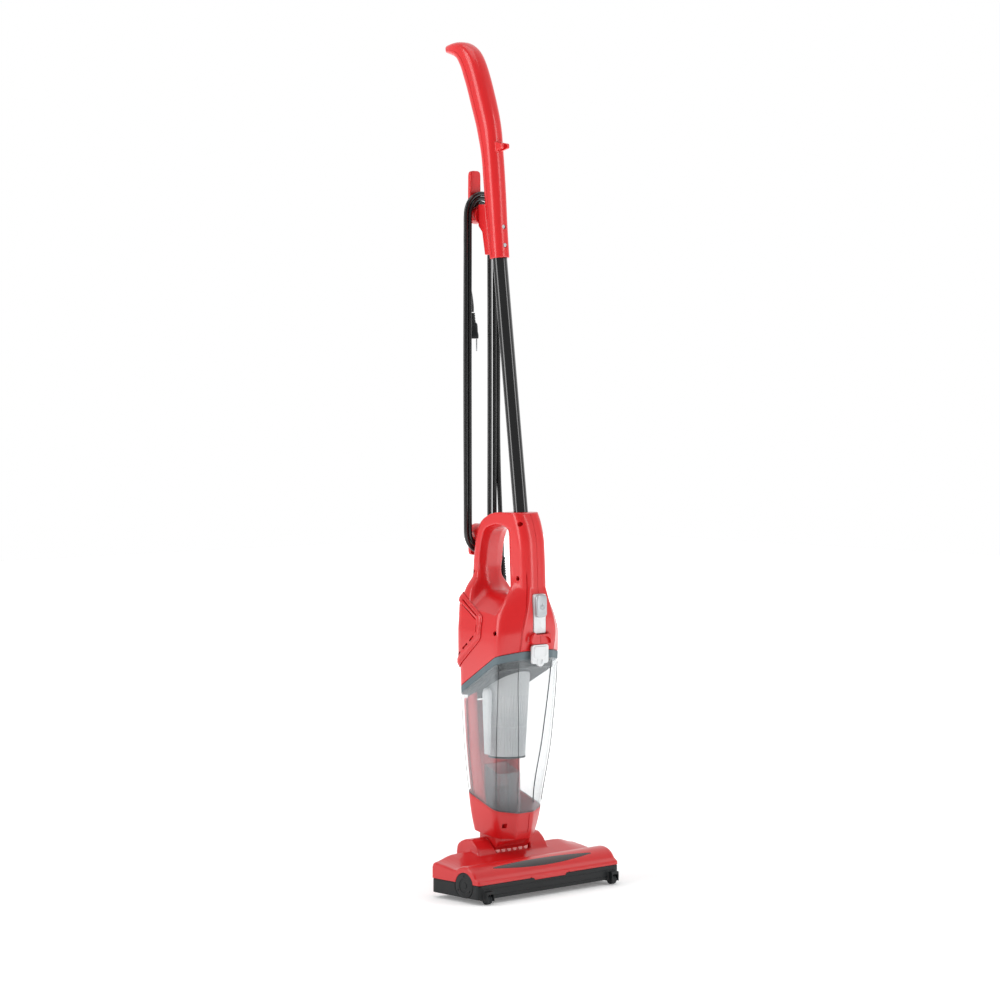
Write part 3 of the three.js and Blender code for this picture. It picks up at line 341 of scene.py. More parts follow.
def lathe_x(name, rows, y, z, sides=64):
    """A turned piece about an axis along X; rows of (x, radius) from one end to the other."""
    return loft(name, [level(0, circle(y, z, r, sides), x) for x, r in rows])


def rounded(corners, radii, steps=7):
    """A polygon with its corners rounded by a curve that reaches radius along each side."""
    out = []
    for i, at in enumerate(corners):
        at = np.array(at, float)
        before = np.array(corners[i - 1], float) - at
        after = np.array(corners[(i + 1) % len(corners)], float) - at
        wanted = radii[i] if isinstance(radii, (list, tuple)) else radii
        if not wanted:
            out.append(tuple(at))
            continue
        reach = min(wanted, np.linalg.norm(before) / 2.2, np.linalg.norm(after) / 2.2)
        start = at + before / np.linalg.norm(before) * reach
        end = at + after / np.linalg.norm(after) * reach
        for k in range(steps + 1):
            t = k / steps
            out.append(tuple(start * (1 - t) ** 2 + at * 2 * t * (1 - t) + end * t * t))
    return out


def hermite(t, start, end, leaving, arriving):
    """A cubic from start to end with the given slopes at its ends."""
    return ((2 * t**3 - 3 * t**2 + 1) * start + (t**3 - 2 * t**2 + t) * leaving + (3 * t**2 - 2 * t**3) * end
            + (t**3 - t**2) * arriving)


def between(rows, values):
    """Rows of [key, numbers...] read at values by a curve that never overshoots."""
    rows = np.array(rows, float)
    keys, data = rows[:, 0], rows[:, 1:]
    slope = np.diff(data, axis=0) / np.diff(keys)[:, None]
    product = slope[:-1] * slope[1:]
    total = slope[:-1] + slope[1:]
    safe = np.where(np.abs(total) < 1e-12, 1.0, total)
    tangent = np.vstack([slope[:1], np.where(product > 0, 2 * product / safe, 0), slope[-1:]])
    values = np.clip(np.array(values, float), keys[0], keys[-1])
    i = np.clip(np.searchsorted(keys, values) - 1, 0, len(keys) - 2)
    h = np.diff(keys)[i][:, None]
    t = (values - keys[i])[:, None] / h
    return hermite(t, data[i], data[i + 1], h * tangent[i], h * tangent[i + 1])


def angles(count):
    """That many angles round a circle."""
    return [2 * pi * k / count for k in range(count)]


def directions(path):
    """The direction of travel at each point of a path."""
    along = np.gradient(path, axis=0)
    return along / np.linalg.norm(along, axis=1)[:, None]


def distances(path):
    """How far along a path each of its points lies."""
    return np.concatenate([[0], np.cumsum(np.linalg.norm(np.diff(path, axis=0), axis=1))])


def sweep(name, path, radius, sides=12, flat=1.0):
    """A tube along a path; flat scales its section across the side it starts from."""
    points = np.array(path, float)
    along = directions(points)
    side = np.cross(along[0], (0.0, 1.0, 0.0) if abs(along[0][1]) < 0.9 else (1.0, 0.0, 0.0))
    rings = []
    for p, direction in zip(points, along):
        side = side - direction * (side @ direction)
        side /= np.linalg.norm(side)
        other = np.cross(direction, side) * flat
        rings.append([p + radius * (side * cos(a) + other * sin(a)) for a in angles(sides)])
    return loft(name, rings)


def curve_through(points, spacing):
    """A smooth path through points, with a point about every spacing millimetres."""
    points = np.array(points, float)
    reach = distances(points)
    dense = np.linspace(0, reach[-1], max(int(reach[-1] / spacing) * 4, 16))
    # One more point beyond each end gives the end points a slope too.
    p = np.vstack([2 * points[0] - points[1], points, 2 * points[-1] - points[-2]])
    r = np.concatenate([[-reach[1]], reach, [2 * reach[-1] - reach[-2]]])
    slope = (p[2:] - p[:-2]) / (r[2:] - r[:-2])[:, None]
    i = np.clip(np.searchsorted(reach, dense) - 1, 0, len(points) - 2)
    gap = np.diff(reach)[i][:, None]
    t = (dense - reach[i])[:, None] / gap
    fine = hermite(t, points[i], points[i + 1], slope[i] * gap, slope[i + 1] * gap)
    reach = distances(fine)
    even = np.linspace(0, reach[-1], max(int(reach[-1] / spacing), 8))
    return np.stack([np.interp(even, reach, fine[:, k]) for k in range(3)], axis=1)


# ---- the cord, wound on the two hooks
def cord_path():
    """Out of the strain relief, up to the hooks, two and a half turns round them, and down to the plug."""
    low, high, y = HOOK["low_z"], HOOK["high_z"], HOOK["ring_y"]
    ups, downs = (34.0, 27.8, 18.6), (23.0, 16.5)
    points = [CORD_EXIT, (29, 76.6, 440), (29.2, 77.2, 452), (29.6, 78.4, 463), (30.1, 80.2, 478),
              (31.4, 83.2, 505), (33.2, 87, 540)]

    def run(x, z0, z1, bow):
        for t in np.linspace(0, 1, 9)[1:-1]:
            swell = sin(pi * t)
            points.append((x + bow * swell, y, z0 + (z1 - z0) * t))

    def turn(r0, r1, centre, start, back=0.0):
        for k in range(17):
            t = k / 16
            r = r0 + (r1 - r0) * (t * t * (3 - 2 * t))
            a = radians(start + 180 * t)
            u = max(0.0, (t - 0.55) / 0.45)
            points.append((r * cos(a), y + back * u * u * (3 - 2 * u), centre + r * sin(a)))

    run(ups[0], 560, high, 0.3)
    for k in range(2):
        turn(ups[k], downs[k], high, 0)
        run(-downs[k], high, low, -1.0 if k == 0 else -0.4)
        turn(downs[k], ups[k + 1], low, 180)
        run(ups[k + 1], low, high, 0.5)
    turn(ups[2], 14.5, high, 0, 9.6)
    points.extend([(-14.5, 99.2, 862), (-14.4, 99.4, 840), (-13, 99.8, 815), (-8, 101.2, 790), (-2.5, 102.8, 770),
                   (-0.4, 103.4, 760), (0, 103.5, 752)])
    return points


route = curve_through(cord_path(), 4.5)
cord = sweep("cord", route, CORD_DIAMETER / 2, sides=14)
cord.data.shade_smooth()
cord.data.materials.append(JACKET)
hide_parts("cord_lead", "cord_winding", "cord_tail")
spot(0, 0, 500)
spot(0, 0, 700)
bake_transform(cord)


PLUG_AT, PLUG_TURN, PLUG_TOP = (0.0, 103.5), radians(47), 751.0


def turn_plug(obj):
    """Turns a piece made about the upright through (0, 0) and sets it at the plug's place."""
    base = spot(0, 0, 0)
    at = spot(*PLUG_AT, 0)
    shift = Matrix.Translation(Vector((at[0], at[1], 0))) @ Matrix.Rotation(PLUG_TURN, 4, "Z")
    obj.data.transform(shift @ Matrix.Translation(-Vector((base[0], base[1], 0))))
    return obj


def plug_body():
    """A moulded plug: a tapered neck with bend rings, a waisted grip and a flat face."""
    top = PLUG_TOP
    profile = [(0, 0), (4.2, 0), (4.3, 1.2), (3.7, 1.6), (4.5, 3.4), (4.6, 4.4), (3.9, 4.8), (4.8, 6.8), (4.9, 7.8),
               (4.2, 8.2), (5.1, 10.2), (5.3, 14), (0, 14)]
    neck = turned("plug_grip", [(r, top - down) for r, down in profile], 0, 0, 32)
    levels = [(top - 33.9, 5.4, 8.4), (top - 33.2, 5.9, 8.9), (top - 30, 6.0, 9.0), (top - 24, 5.0, 8.0),
              (top - 19, 4.9, 7.8), (top - 15, 5.2, 7.4), (top - 13, 4.4, 6.0)]
    heights = np.linspace(levels[0][0], levels[-1][0], 24)
    join(neck, loft("grip", [level(2, rect(-w, w, -d, d, 3.4, 5), z)
                             for z, (w, d) in zip(heights, between(levels, heights))]))
    soften(neck, 0.4, 2)
    cut(neck, *[block("groove", side * 4.4, side * 7, -5, 5, z - 0.5, z + 0.5)
                for z in (top - 18, top - 21, top - 24) for side in (-1, 1)])
    return turn_plug(neck)


plug = finish(plug_body(), "wand", BLACK, ["plug_body"])


def plug_blade(name, side):
    top, y = PLUG_TOP - 34.3, side * 6.35
    outline = rect(-3.2, 3.2, top, top - 16, [0.3, 0.3, 2.4, 2.4], 5)
    blade = prism(name, outline, 1, y - 0.8, y + 0.8)
    return turn_plug(cut(blade, bar("hole", 1, y - 2, y + 2, 0, top - 12, 1.3, 20)))


blades = [finish(plug_blade(f"plug_blade_{name}_fine", side), "wand", STEEL, [f"plug_blade_{name}"])
          for name, side in (("front", -1), ("rear", 1))]
spot(*CORD_EXIT)
place(route).tolist()


# ---- outline of the hand unit
# Height, then half-width and y of the front, side and rear corners.
BODY = [
    (58, 11, 9, 32, 22, 31, 61), (66, 12, 6, 34.5, 20, 33.5, 64), (80, 13, 2.5, 38.5, 17, 36, 67),
    (97, 14, 0.5, 41.5, 14, 38.5, 69.5), (117, 14, 0, 43.5, 11, 40.5, 71.5), (200, 21.5, -9.5, 52, 1, 45.5, 78),
    (300, 29, -18.5, 55, -6, 48, 82), (335, 29, -25, 54, -6.5, 47, 83.5), (352, 26, -26, 51, -4, 44.5, 84.5),
    (372, 20, -25, 43, -2, 42, 85.5), (391, 16, -23, 30, 2, 35, 84.5), (408, 13, -18, 19, 6, 20, 83),
]
BODY_CORNERS = (3, 3, 9, 14, 9, 9, 14, 9)
# Height, then front and rear of the carrying loop's column and bar.
GRIP = [(370, -23, 85), (400, -22.5, 86), (452, -20, 81), (476, -14.5, 72), (493, -7, 56)]
GRIP_HALF, GRIP_CORNER = 21.0, 14.0
MOUTH = (64.5, 0.17)
RIM = (100.0, 0.38)
SEAL_LINE = ((-40, 320), (2, 306), (95, 251))
SEAL_HEIGHT = 10.0
FILTER_LINE = -SEAL_HEIGHT - 9.6
HOUSING_WALL = 2.6
SCREW_SPOTS = ((79, 412), (-8.5, 477), (-7, 407), (2, 337))


def body_ring(z, inset, steps=6):
    fx, fy, sx, sy, rx, ry = between(BODY, [z])[0]
    f, s, r = fx - 0.5 * inset, sx - inset, rx - inset
    yf, ys, yr = fy + inset, sy + 0.3 * inset, ry - inset
    corners = [(-f, yf), (f, yf), (s, ys), (r, yr - 2), (r * 0.45, yr + 0.6), (-r * 0.45, yr + 0.6),
               (-r, yr - 2), (-s, ys)]
    return level(2, rounded(corners, BODY_CORNERS, steps), z)


def body_skin(inset, low=58.0, high=408.0, step=4.0, name="skin"):
    heights = np.linspace(low, high, max(int((high - low) / step), 2) + 1)
    return loft(name, [body_ring(z, inset) for z in heights])


def beyond(line, shift, limit):
    """All the room between a line of (y, z) rows, raised by shift, and the height limit."""
    rows = [(y, z + shift) for y, z in line]
    ends = [(FAR, rows[-1][1]), (FAR, limit), (-FAR, limit), (-FAR, rows[0][1])]
    return prism("beyond", [*rows, *ends], 0, -FAR, FAR)


def above(line, shift=0.0):
    return beyond(line, shift, 3 * FAR)


def below(line, shift=0.0):
    return beyond(line, shift, -FAR)


def sloped(z, slope):
    """A straight line at height z where y is 0."""
    return ((-60, z - 60 * slope), (120, z + 120 * slope))


def slab(outline, x0=-FAR, x1=FAR):
    return prism("slab", outline, 0, x0, x1)


def seam(obj, inner, half=0.28):
    """A parting line round obj at x = 0, as deep as inner lies inside obj."""
    line = block("line", -half, half, -FAR, FAR, -FAR, 3 * FAR)
    cut(line, inner)
    return cut(obj, line)


# ---- carrying loop and motor housing
GRIP_OUTLINE = rounded([(-22, 372), (84, 372), (86, 400), (81, 452), (70, 476), (44, 491),
                        (tube_y(492) - 21, 492), (tube_y(470) - 27, 470), (-23, 400)],
                       (1, 1, 8, 24, 16, 14, 12, 14, 10), 8)


def grip_rim(inset=0.0):
    heights = np.linspace(370, 493, 42)
    half = GRIP_HALF - inset
    return keep(loft("rim", [level(2, rect(-half, half, front + inset, rear - inset, GRIP_CORNER, 8), z)
                             for z, (front, rear) in zip(heights, between(GRIP, heights))]), slab(GRIP_OUTLINE))


def loop_hole():
    """The opening of the carrying loop; it flares towards the column, which stays round behind the tube."""
    flare_rows = [(0, 0), (5, 0.2), (10, 1.5), (16, 6), (21, 14), (60, 16)]
    drop_rows = [(0, 0), (10, 0.6), (21, 3), (30, 8), (43, 18), (60, 30)]
    rings = []
    half = (3, 6, 9, 11.5, 14, 16.5, 19, 21.5, 24, 40, 60)
    for x in (*[-x for x in half[::-1]], 0, *half):
        flare = between(flare_rows, [abs(x)])[0][0]
        drop = between(drop_rows, [abs(x)])[0][0]
        out = min(max(abs(x) - 9, 0) * 0.22, 3.5)
        corners = [(18 - flare, 384 - out - drop), (56 + out, 388 - out - drop), (66 + out, 412), (62 + out, 448),
                   (54 + out, 468 + out), (30, 474 + out), (21 - flare, 468 + out)]
        rings.append(level(0, rounded(corners, (8, 12, 14, 14, 10, 8, 6), 6), x))
    return loft("hole", rings)


def band_edge(z):
    """Where the raised front band ends: half-width and y at height z."""
    fx, fy = between(BODY, [z])[0][:2]
    if z <= 372:
        return fx, fy
    column = between([(372, 20, -24.6), (400, 15.6, -20.6), (452, 14.4, -17.2), (476, 13.6, -11.6), (487, 13, -8)],
                     [z])[0]
    return column[0], column[1]


def housing():
    body = body_skin(0, 236, 408, 3.0, "housing")
    hood = rounded([(-18, 322.5), (18, 322.5), (18, 333), (13, 338), (-13, 338), (-18, 333)], 5, 6)
    join(body, grip_rim(), prism("hood", hood, 1, -31.5, -20))
    cut(body, loop_hole())
    keep(body, above(SEAL_LINE))
    room = join(block("room", -FAR, FAR, -19, FAR, 0, 346),
                block("over_motor", -28.5, 28.5, -19, FAR, 300, 370.6))
    cut(body, keep(body_skin(HOUSING_WALL, 236, 377, 3.0, "cavity"), room))
    soften(body, 0.95, 4)
    # The shoulders flow into the loop in a wide saddle.
    melt(body, lambda p: np.clip((p[:, 2] - 362) / 14, 0, 1) * np.clip((424 - p[:, 2]) / 12, 0, 1)
         * np.clip((p[:, 1] + 15) / 6, 0, 1), 110)
    # The front of the unit stands as a raised band between two creases.
    for side in (-1, 1):
        edge = [(side * (half + 0.7), y + 1.0, z)
                for z in np.linspace(306, 484, 60) for half, y in [band_edge(z)]]
        cut(body, sweep("crease", edge, 1.15, 10, flat=0.8))
    release_y = tube_y(447) + 9.5
    # Finger notch beside the latch, under the hood.
    notch = rounded([(-15.2, 318), (15.2, 318), (15.2, 327.5), (10, 332.5), (-10, 332.5), (-15.2, 327.5)], 6, 6)
    cut(body, bar("bore", 2, 430, 560, 0, tube_y(495), 9.9, 64),
        prism("recess", rect(-11.6, 11.6, 335, 388, 3, 6), 1, -FAR, -23),
        # Room for the latch to be pressed in under the hood.
        block("latch_room", -15.3, 15.3, -40, -21.9, 296, 322.2),
        prism("arch", notch, 1, -40, -28.2),
        *[bar("screw_bore", 0, -60, -6, y, z, 3.1, 32) for y, z in SCREW_SPOTS],
        bar("release_bore", 1, release_y - 2, release_y + 12, 0, 447, 5.3, 40),
        *[block("vent", -FAR, FAR, 48, 66, z, z + 5) for z in (318, 332, 346)])
    return seam(body, join(body_skin(0.9, 240, 404, 4.0, "inner"), grip_rim(0.9)))


finish(housing(), "motor_unit", RED, ["housing_left", "housing_right"])


def screw(name, axis_x, y, z, turn=0.4):
    """A pan head with a cross recess, facing -X."""
    profile = ((2.0, 2.6), (0.7, 2.6), (0.25, 2.3), (0, 1.5))
    head = lathe_x(name, [(axis_x + back, r) for back, r in profile], y, z, 32)
    for angle in (turn, turn + pi / 2):
        c, s = cos(angle), sin(angle)
        arm = [(y + c * u - s * v, z + s * u + c * v)
               for u, v in ((1.5, 0.28), (1.5, -0.28), (-1.5, -0.28), (-1.5, 0.28))]
        cut(head, prism("cross", arm, 0, axis_x - 1, axis_x + 0.9))
    return join(head, bar("shank", 0, axis_x + 1.5, 6.5, y, z, 1.6, 20))


for number, (y, z) in enumerate(SCREW_SPOTS, 1):
    finish(screw(f"screw_{number}", -8.3, y, z, 0.5 * number), "motor_unit", STEEL,
           [f"housing_screw_{number}"])


# ---- exhaust covers, one piece round the back
def hexagon(inset):
    i = inset
    return rounded([(78 + 0.3 * i, 287 + 1.3 * i), (30 + i, 328 + 0.45 * i), (30 + i, 357 - 0.35 * i),
                    (78 + 0.3 * i, 385 - 1.3 * i), (130, 391 - 1.3 * i), (130, 281 + 1.3 * i)], 6, 6)


def exhaust_cover():
    cover = keep(body_skin(-1.3, 276, 396, 3.0, "exhaust_cover_fine"), slab(hexagon(0)))
    for lift, inset in ((2.3, 2.2), (3.0, 4.0)):
        join(cover, keep(body_skin(-lift, 276, 396, 3.0), slab(hexagon(inset))))
    cut(cover, body_skin(-0.35, 270, 402, 3.0), slab(rect(60, 130, 250, 286, 1, 2)))
    panel = cut(body_skin(-6, 276, 396, 3.0), body_skin(-1.7, 270, 402, 3.0))
    cut(cover, keep(panel, slab(hexagon(8.5))))
    soften(cover, 0.62, 3)
    # Vent lines that follow the panel's edge, each from one (y, z) to another, with its width.
    for start, end, wide in (((41, 357.5), (74, 376.5), 1.5), ((43, 352.5), (74, 370.5), 1.5),
                             ((40, 346), (40, 336), 1.5), ((44, 331), (52, 324.4), 2.6),
                             ((57, 320.4), (66, 313), 2.6), ((71, 309), (78, 303.5), 2.6)):
        along = np.subtract(end, start)
        off = np.array([-along[1], along[0]]) / np.linalg.norm(along) * wide / 2
        cut(cover, slab([start + off, end + off, end - off, start - off]))
    return cover


finish(exhaust_cover(), "motor_unit", RED, ["exhaust_cover"])


# ---- seal, collar, switch, release, relief
def seal_ring():
    ring = cut(body_skin(0, 236, 330, 3.0, "seal_band"), body_skin(6.0, 230, 336, 3.0))
    return soften(keep(ring, below(SEAL_LINE, -0.35), above(SEAL_LINE, -SEAL_HEIGHT)), 0.6, 2)


finish(seal_ring(), "motor_unit", SEAL_GREY, ["seal_ring"])


def collar():
    ring = keep(body_skin(6.4, 226, 330, 3.0, "filter_skirt"), below(SEAL_LINE, -1),
                above(SEAL_LINE, -SEAL_HEIGHT - 9))
    return cut(ring, bar("bore", 2, 0, FAR, 0, 36, 22, 64))


finish(collar(), "motor_unit", BLACK, ["filter_collar"])


def switch_plate():
    plate = prism("switch_plate_fine", rect(-10.2, 10.2, 336.4, 386.8, 2.4, 6), 1, -26.6, -23.4)
    # Generic on and off marks: a bar and a ring, sunk in the plate.
    ring = cut(bar("off_mark", 1, -27, -26.2, 0, 341.5, 2.5, 40), bar("core", 1, -28, -26, 0, 341.5, 1.6, 40))
    return cut(plate, block("on_mark", -0.5, 0.5, -27, -26.2, 347.5, 352.5), ring)


finish(switch_plate(), "motor_unit", WHITE, ["switch_plate"])


def switch_cap():
    cap = loft("switch_cap", [level(1, rect(-9 - grow, 9 + grow, 357 - grow, 386 + grow, 5.5, 8), y)
                              for y, grow in ((-26.9, 0), (-29.6, 0), (-30.5, -0.35), (-31.0, -1.1), (-31.15, -2.2))])
    ring = cut(bar("ring", 1, -32, -30.7, 0, 370, 3.5, 48), bar("core", 1, -33, -30, 0, 370, 2.6, 48),
               block("gap", -1.1, 1.1, -33, -30, 371, 376))
    # The ring and its tick, and grip ribs along the lower edge.
    return cut(cap, ring, block("tick", -0.45, 0.45, -32, -30.7, 370.4, 375),
               *[block("rib", -7, 7, -32, -30.75, z - 0.35, z + 0.35) for z in (359.4, 361.4, 363.4)])


finish(switch_cap(), "power_switch", SILVER, ["power_switch"])


def strain_relief():
    x, y, top = 29.0, 76.5, 428.7
    rows = [(0, top), (4.4, top)]
    for k in range(7):
        z = top - 1.5 - 3.2 * k
        wide = 4.5 + 0.22 * k
        rows += [(wide, z), (wide, z - 1.5), (wide - 0.9, z - 1.9), (wide - 0.8, z - 2.9)]
    rows += [(6.3, top - 24.5), (6.3, top - 36), (0, top - 36)]
    relief = turned("cord_relief", rows, x, y, 40)
    return cut(relief, body_skin(-0.3, 300, 408, 3.0))


finish(strain_relief(), "motor_unit", BLACK, ["strain_relief"])


# ---- pieces softened from their CAD solids
def copy_of(node, name):
    """A copy of a CAD node's solid, its corners welded."""
    mesh = frame["nodes"][node].data.copy()
    weld = bmesh.new()
    weld.from_mesh(mesh)
    bmesh.ops.remove_doubles(weld, verts=weld.verts, dist=2e-6)
    weld.to_mesh(mesh)
    weld.free()
    return add_object(name, mesh)


def moulded(node, name, body, finish_with, voxel=0.6, passes=4):
    return finish(soften(copy_of(node, name), voxel, passes), body, finish_with, [node])


moulded("lower_hook", "lower_hook_moulded", "motor_unit", RED)
moulded("cord_hook", "upper_hook_moulded", "cord_hook", RED, 0.6, 6)
moulded("hook_bracket", "hook_rail", "wand", RED, 0.6, 5)
moulded("wand_release", "release_button", "wand_release", BLACK, 0.45, 4)


# ---- wand and handle
HANDLE = [
    (0, 49.6, 821, 11.7, 11.7), (41, 54, 862, 11.9, 12.6), (87, 58.4, 908, 12.5, 13.7), (132, 63, 953, 12.8, 14),
    (170, 69.5, 990, 13.5, 16), (212, 82, 1030, 14.5, 16.5), (246, 94, 1062, 14.5, 16.5),
    (271, 105, 1083.2, 14.5, 15.2), (289, 119, 1095, 13.5, 12), (304, 134, 1098.4, 11.5, 8.4),
    (316, 146, 1099, 8.5, 5.5),
]
PARTING = 0.2
SLEEVE_SCREWS = (838, 862)


def handle_solid(inset=0.0, name="handle"):
    rows = between(HANDLE, np.linspace(inset, HANDLE[-1][0] - inset, 110))
    rings = []
    for (y, z, w, d), (ay, az) in zip(rows, directions(rows[:, :2])):
        ring = []
        for a in angles(72):
            c, s = cos(a), sin(a)
            x = (w - inset) * copysign(abs(c) ** 0.75, c)
            across = (d - inset) * copysign(abs(s) ** 0.75, s)
            ring.append((x, y + across * az, z - across * ay))
        rings.append(ring)
    return loft(name, rings)


def parting_line():
    """The line between the handle's front and rear shells, as (y, z, across y, across z)."""
    rows = between(HANDLE, np.linspace(0, HANDLE[-1][0], 60))
    return [(y + PARTING * d * az, z - PARTING * d * ay, az, -ay)
            for (y, z, w, d), (ay, az) in zip(rows, directions(rows[:, :2]))]


def handle():
    body = handle_solid(0, "handle_shell")
    prong = rounded([(38, 963.5), (52, 960), (52, 972), (38.4, 969.5)], 1.6, 5)
    join(body, *[slab(prong, x0, x0 + 4) for x0 in (3.0, -7.0)])
    cut(body, sweep("sleeve", [(0, tube_y(z), z) for z in (800, 889)], 9.75, 64))
    soften(body, 0.75, 4)
    hang_hole = [(4.0, 1060), (4.0, 1103), (4.4, 1105.2), (5.6, 1107.2), (7.4, 1108.6), (7.4, 1112)]
    cut(body, turned("hang", hang_hole, 0, 119, 48))
    for z in SLEEVE_SCREWS:
        face = tube_y(z) - 9.8
        cut(body, bar("screw_bore", 1, face - 20, face - 0.7, 0, z, 3.1, 32))
    line = parting_line()
    strip = [(y + 0.26 * v, z + 0.26 * w) for y, z, v, w in line]
    strip += [(y - 0.26 * v, z - 0.26 * w) for y, z, v, w in line[::-1]]
    return cut(body, cut(slab(strip), handle_solid(0.8, "inner")))


finish(handle(), "wand", RED, ["handle_front", "handle_rear"])


def wand_tube():
    """An open tube: the rows of (z, radius) go up its outside and down its bore."""
    low, high, outer = TUBE["bottom"], TUBE["top"], TUBE["radius"]
    bore = outer - TUBE["wall"]
    rows = ((low, bore), (low, outer - 0.2), (low + 0.3, outer), (high - 0.3, outer), (high, outer - 0.2), (high, bore))
    count = 72
    points = [p for z, r in rows for p in level(2, circle(0, tube_y(z), r, count), z)]
    faces = []
    for row in range(len(rows)):
        a, b = row * count, (row + 1) % len(rows) * count
        for i in range(count):
            j = (i + 1) % count
            faces.append((a + i, a + j, b + j, b + i))
    return piece("tube_fine", points, faces)


finish(wand_tube(), "wand", GLOSS, ["wand_tube"])


# ---- floor head
HEAD = {"half": 125.0, "front": -47.0, "rear": 44.0, "bottom": 6.0, "split": 24.5, "end_top": 45.0, "rear_top": 52.0,
        "wall": 2.4}
BARREL_Y, BARREL_Z, BARREL_R = -18.0, 21.5, 24.5
SHOULDER = {"inner": 31.5, "outer": 61.0, "top": 67.0, "front": 22.0, "rear": 67.0}
PIVOT_Z, DRUM_R = 45.0, 18.5
WINDOW = {"half": 87.0, "depth": 8.5, "y": -32.0, "thickness": 1.6}
DISC_R = 16.5


def smooth_step(t):
    t = min(max(t, 0.0), 1.0)
    return t * t * (3 - 2 * t)


def head_ring(x, inset, rear_top, low):
    r = BARREL_R - inset
    front, rear = HEAD["front"] + inset, HEAD["rear"] - inset
    top = rear_top - inset
    points = [(front, low), (front + 1.2, 29 - inset / 2), *arc(BARREL_Y, BARREL_Z, r, 152, 50, 22),
              (4, BARREL_Z + r * 0.76), (22, (BARREL_Z + r * 0.8 + top) / 2),
              (rear - 6, top), (rear - 2, top - 1.4), (rear, top - 5), (rear, low)]
    return level(0, points, x)


def head_skin(inset, low, name="skin"):
    """The cover's outline drawn along the head; its rear rises towards the middle, and its ends are rounded."""
    end = HEAD["half"] - inset
    rows = []
    for x in (*np.linspace(-end, -end + 4, 5), *np.linspace(-end + 8, end - 8, 42), *np.linspace(end - 4, end, 5)):
        reach = max(0.0, (abs(x) - (end - 4)) / 4)
        shrink = inset + 1.8 * (1 - sqrt(1 - reach * reach))
        share = smooth_step((HEAD["half"] - abs(x)) / 34)
        rows.append(head_ring(x, shrink, HEAD["end_top"] + (HEAD["rear_top"] - HEAD["end_top"]) * share, low))
    return loft(name, rows)


def shoulder(side, inset, low, name="shoulder"):
    s = SHOULDER
    profile = rounded([(s["front"] + inset, low), (s["rear"] - inset, low), (s["rear"] - inset, s["top"] - 8 - inset),
                       (s["rear"] - 16, s["top"] - inset), (s["front"] + 16, s["top"] - inset),
                       (s["front"] + inset, s["top"] - 16)], [0, 0, 8, 8, 8, 8], 6)
    x0, x1 = sorted((side * (s["inner"] + inset), side * (s["outer"] - inset)))
    return prism(name, profile, 0, x0, x1)


def lens(grow, steps=40):
    half, depth = WINDOW["half"] + grow, WINDOW["depth"] / 2 + grow
    front = [(half * t, -depth * (1 - t * t) - 0.6) for t in np.linspace(-1, 1, steps)]
    return [(x, y + WINDOW["y"]) for x, y in front + [(x, -y) for x, y in front[::-1]]]


def lip(grow):
    """The cover's dip over the front of the base, between two small notches."""
    return prism("lip", [(-31 - grow, 26), (-27 - grow, 21.6 - grow), (27 + grow, 21.6 - grow), (31 + grow, 26)], 1,
                 HEAD["front"] - 1, HEAD["front"] + 3.4 + grow)


def head_cover():
    body = head_skin(0, 14, "cover_shell")
    join(body, shoulder(1, 0, 14), shoulder(-1, 0, 14))
    soften(body, 1.0, 6)
    melt(body, lambda p: (np.abs(p[:, 0]) < 74) * (p[:, 1] > 8) * np.clip((p[:, 2] - 38) / 6, 0, 1), 14)
    cut(body, cut(block("low", -FAR, FAR, -FAR, FAR, -FAR, HEAD["split"]), lip(0)))
    wall, reach = HEAD["wall"], SHOULDER["inner"]
    cut(body, join(head_skin(wall, 10), shoulder(1, wall, 10), shoulder(-1, wall, 10)))
    recess = block("recess", -reach, reach, PIVOT_Y, SHOULDER["rear"] + 5, 0, FAR)
    join(recess, bar("drum_room", 0, -reach, reach, PIVOT_Y, PIVOT_Z, DRUM_R + 1, 96),
         block("above", -reach, reach, PIVOT_Y - DRUM_R - 1, PIVOT_Y + 1, PIVOT_Z, FAR))
    cut(body, recess, prism("opening", lens(0.3), 2, 30, FAR))
    for side in (-1, 1):
        cut(body, side_bar("end_room", side, HEAD["half"] - 6, HEAD["half"] + 1, BARREL_Y, BARREL_Z, DISC_R + 0.3, 72),
            side_bar("pin_room", side, 24, 40, PIVOT_Y, PIVOT_Z, 5.3, 48),
            block("notch", side * 34 - 1.1, side * 34 + 1.1, HEAD["front"] - 1, HEAD["front"] + 2, 20, 26))
    return body


finish(head_cover(), "floor_head", RED, ["head_cover"])


def head_base():
    body = cut(soften(copy_of("head_base", "base_shell"), 0.9, 3), lip(0.3))
    # Two grooves along the front of the skirt.
    front = HEAD["front"]
    return cut(body, *[block("line", -FAR, FAR, front - 1, front + 0.5, z, z + 0.5) for z in (10.5, 18.5)])


finish(head_base(), "floor_head", BLACK, ["head_base"])


def window():
    body = cut(head_skin(-0.2, 20, "window_lens"), head_skin(WINDOW["thickness"], 16))
    return keep(body, prism("lens", lens(0), 2, 30, FAR))


finish(window(), "floor_head", SMOKE, ["brush_window"])


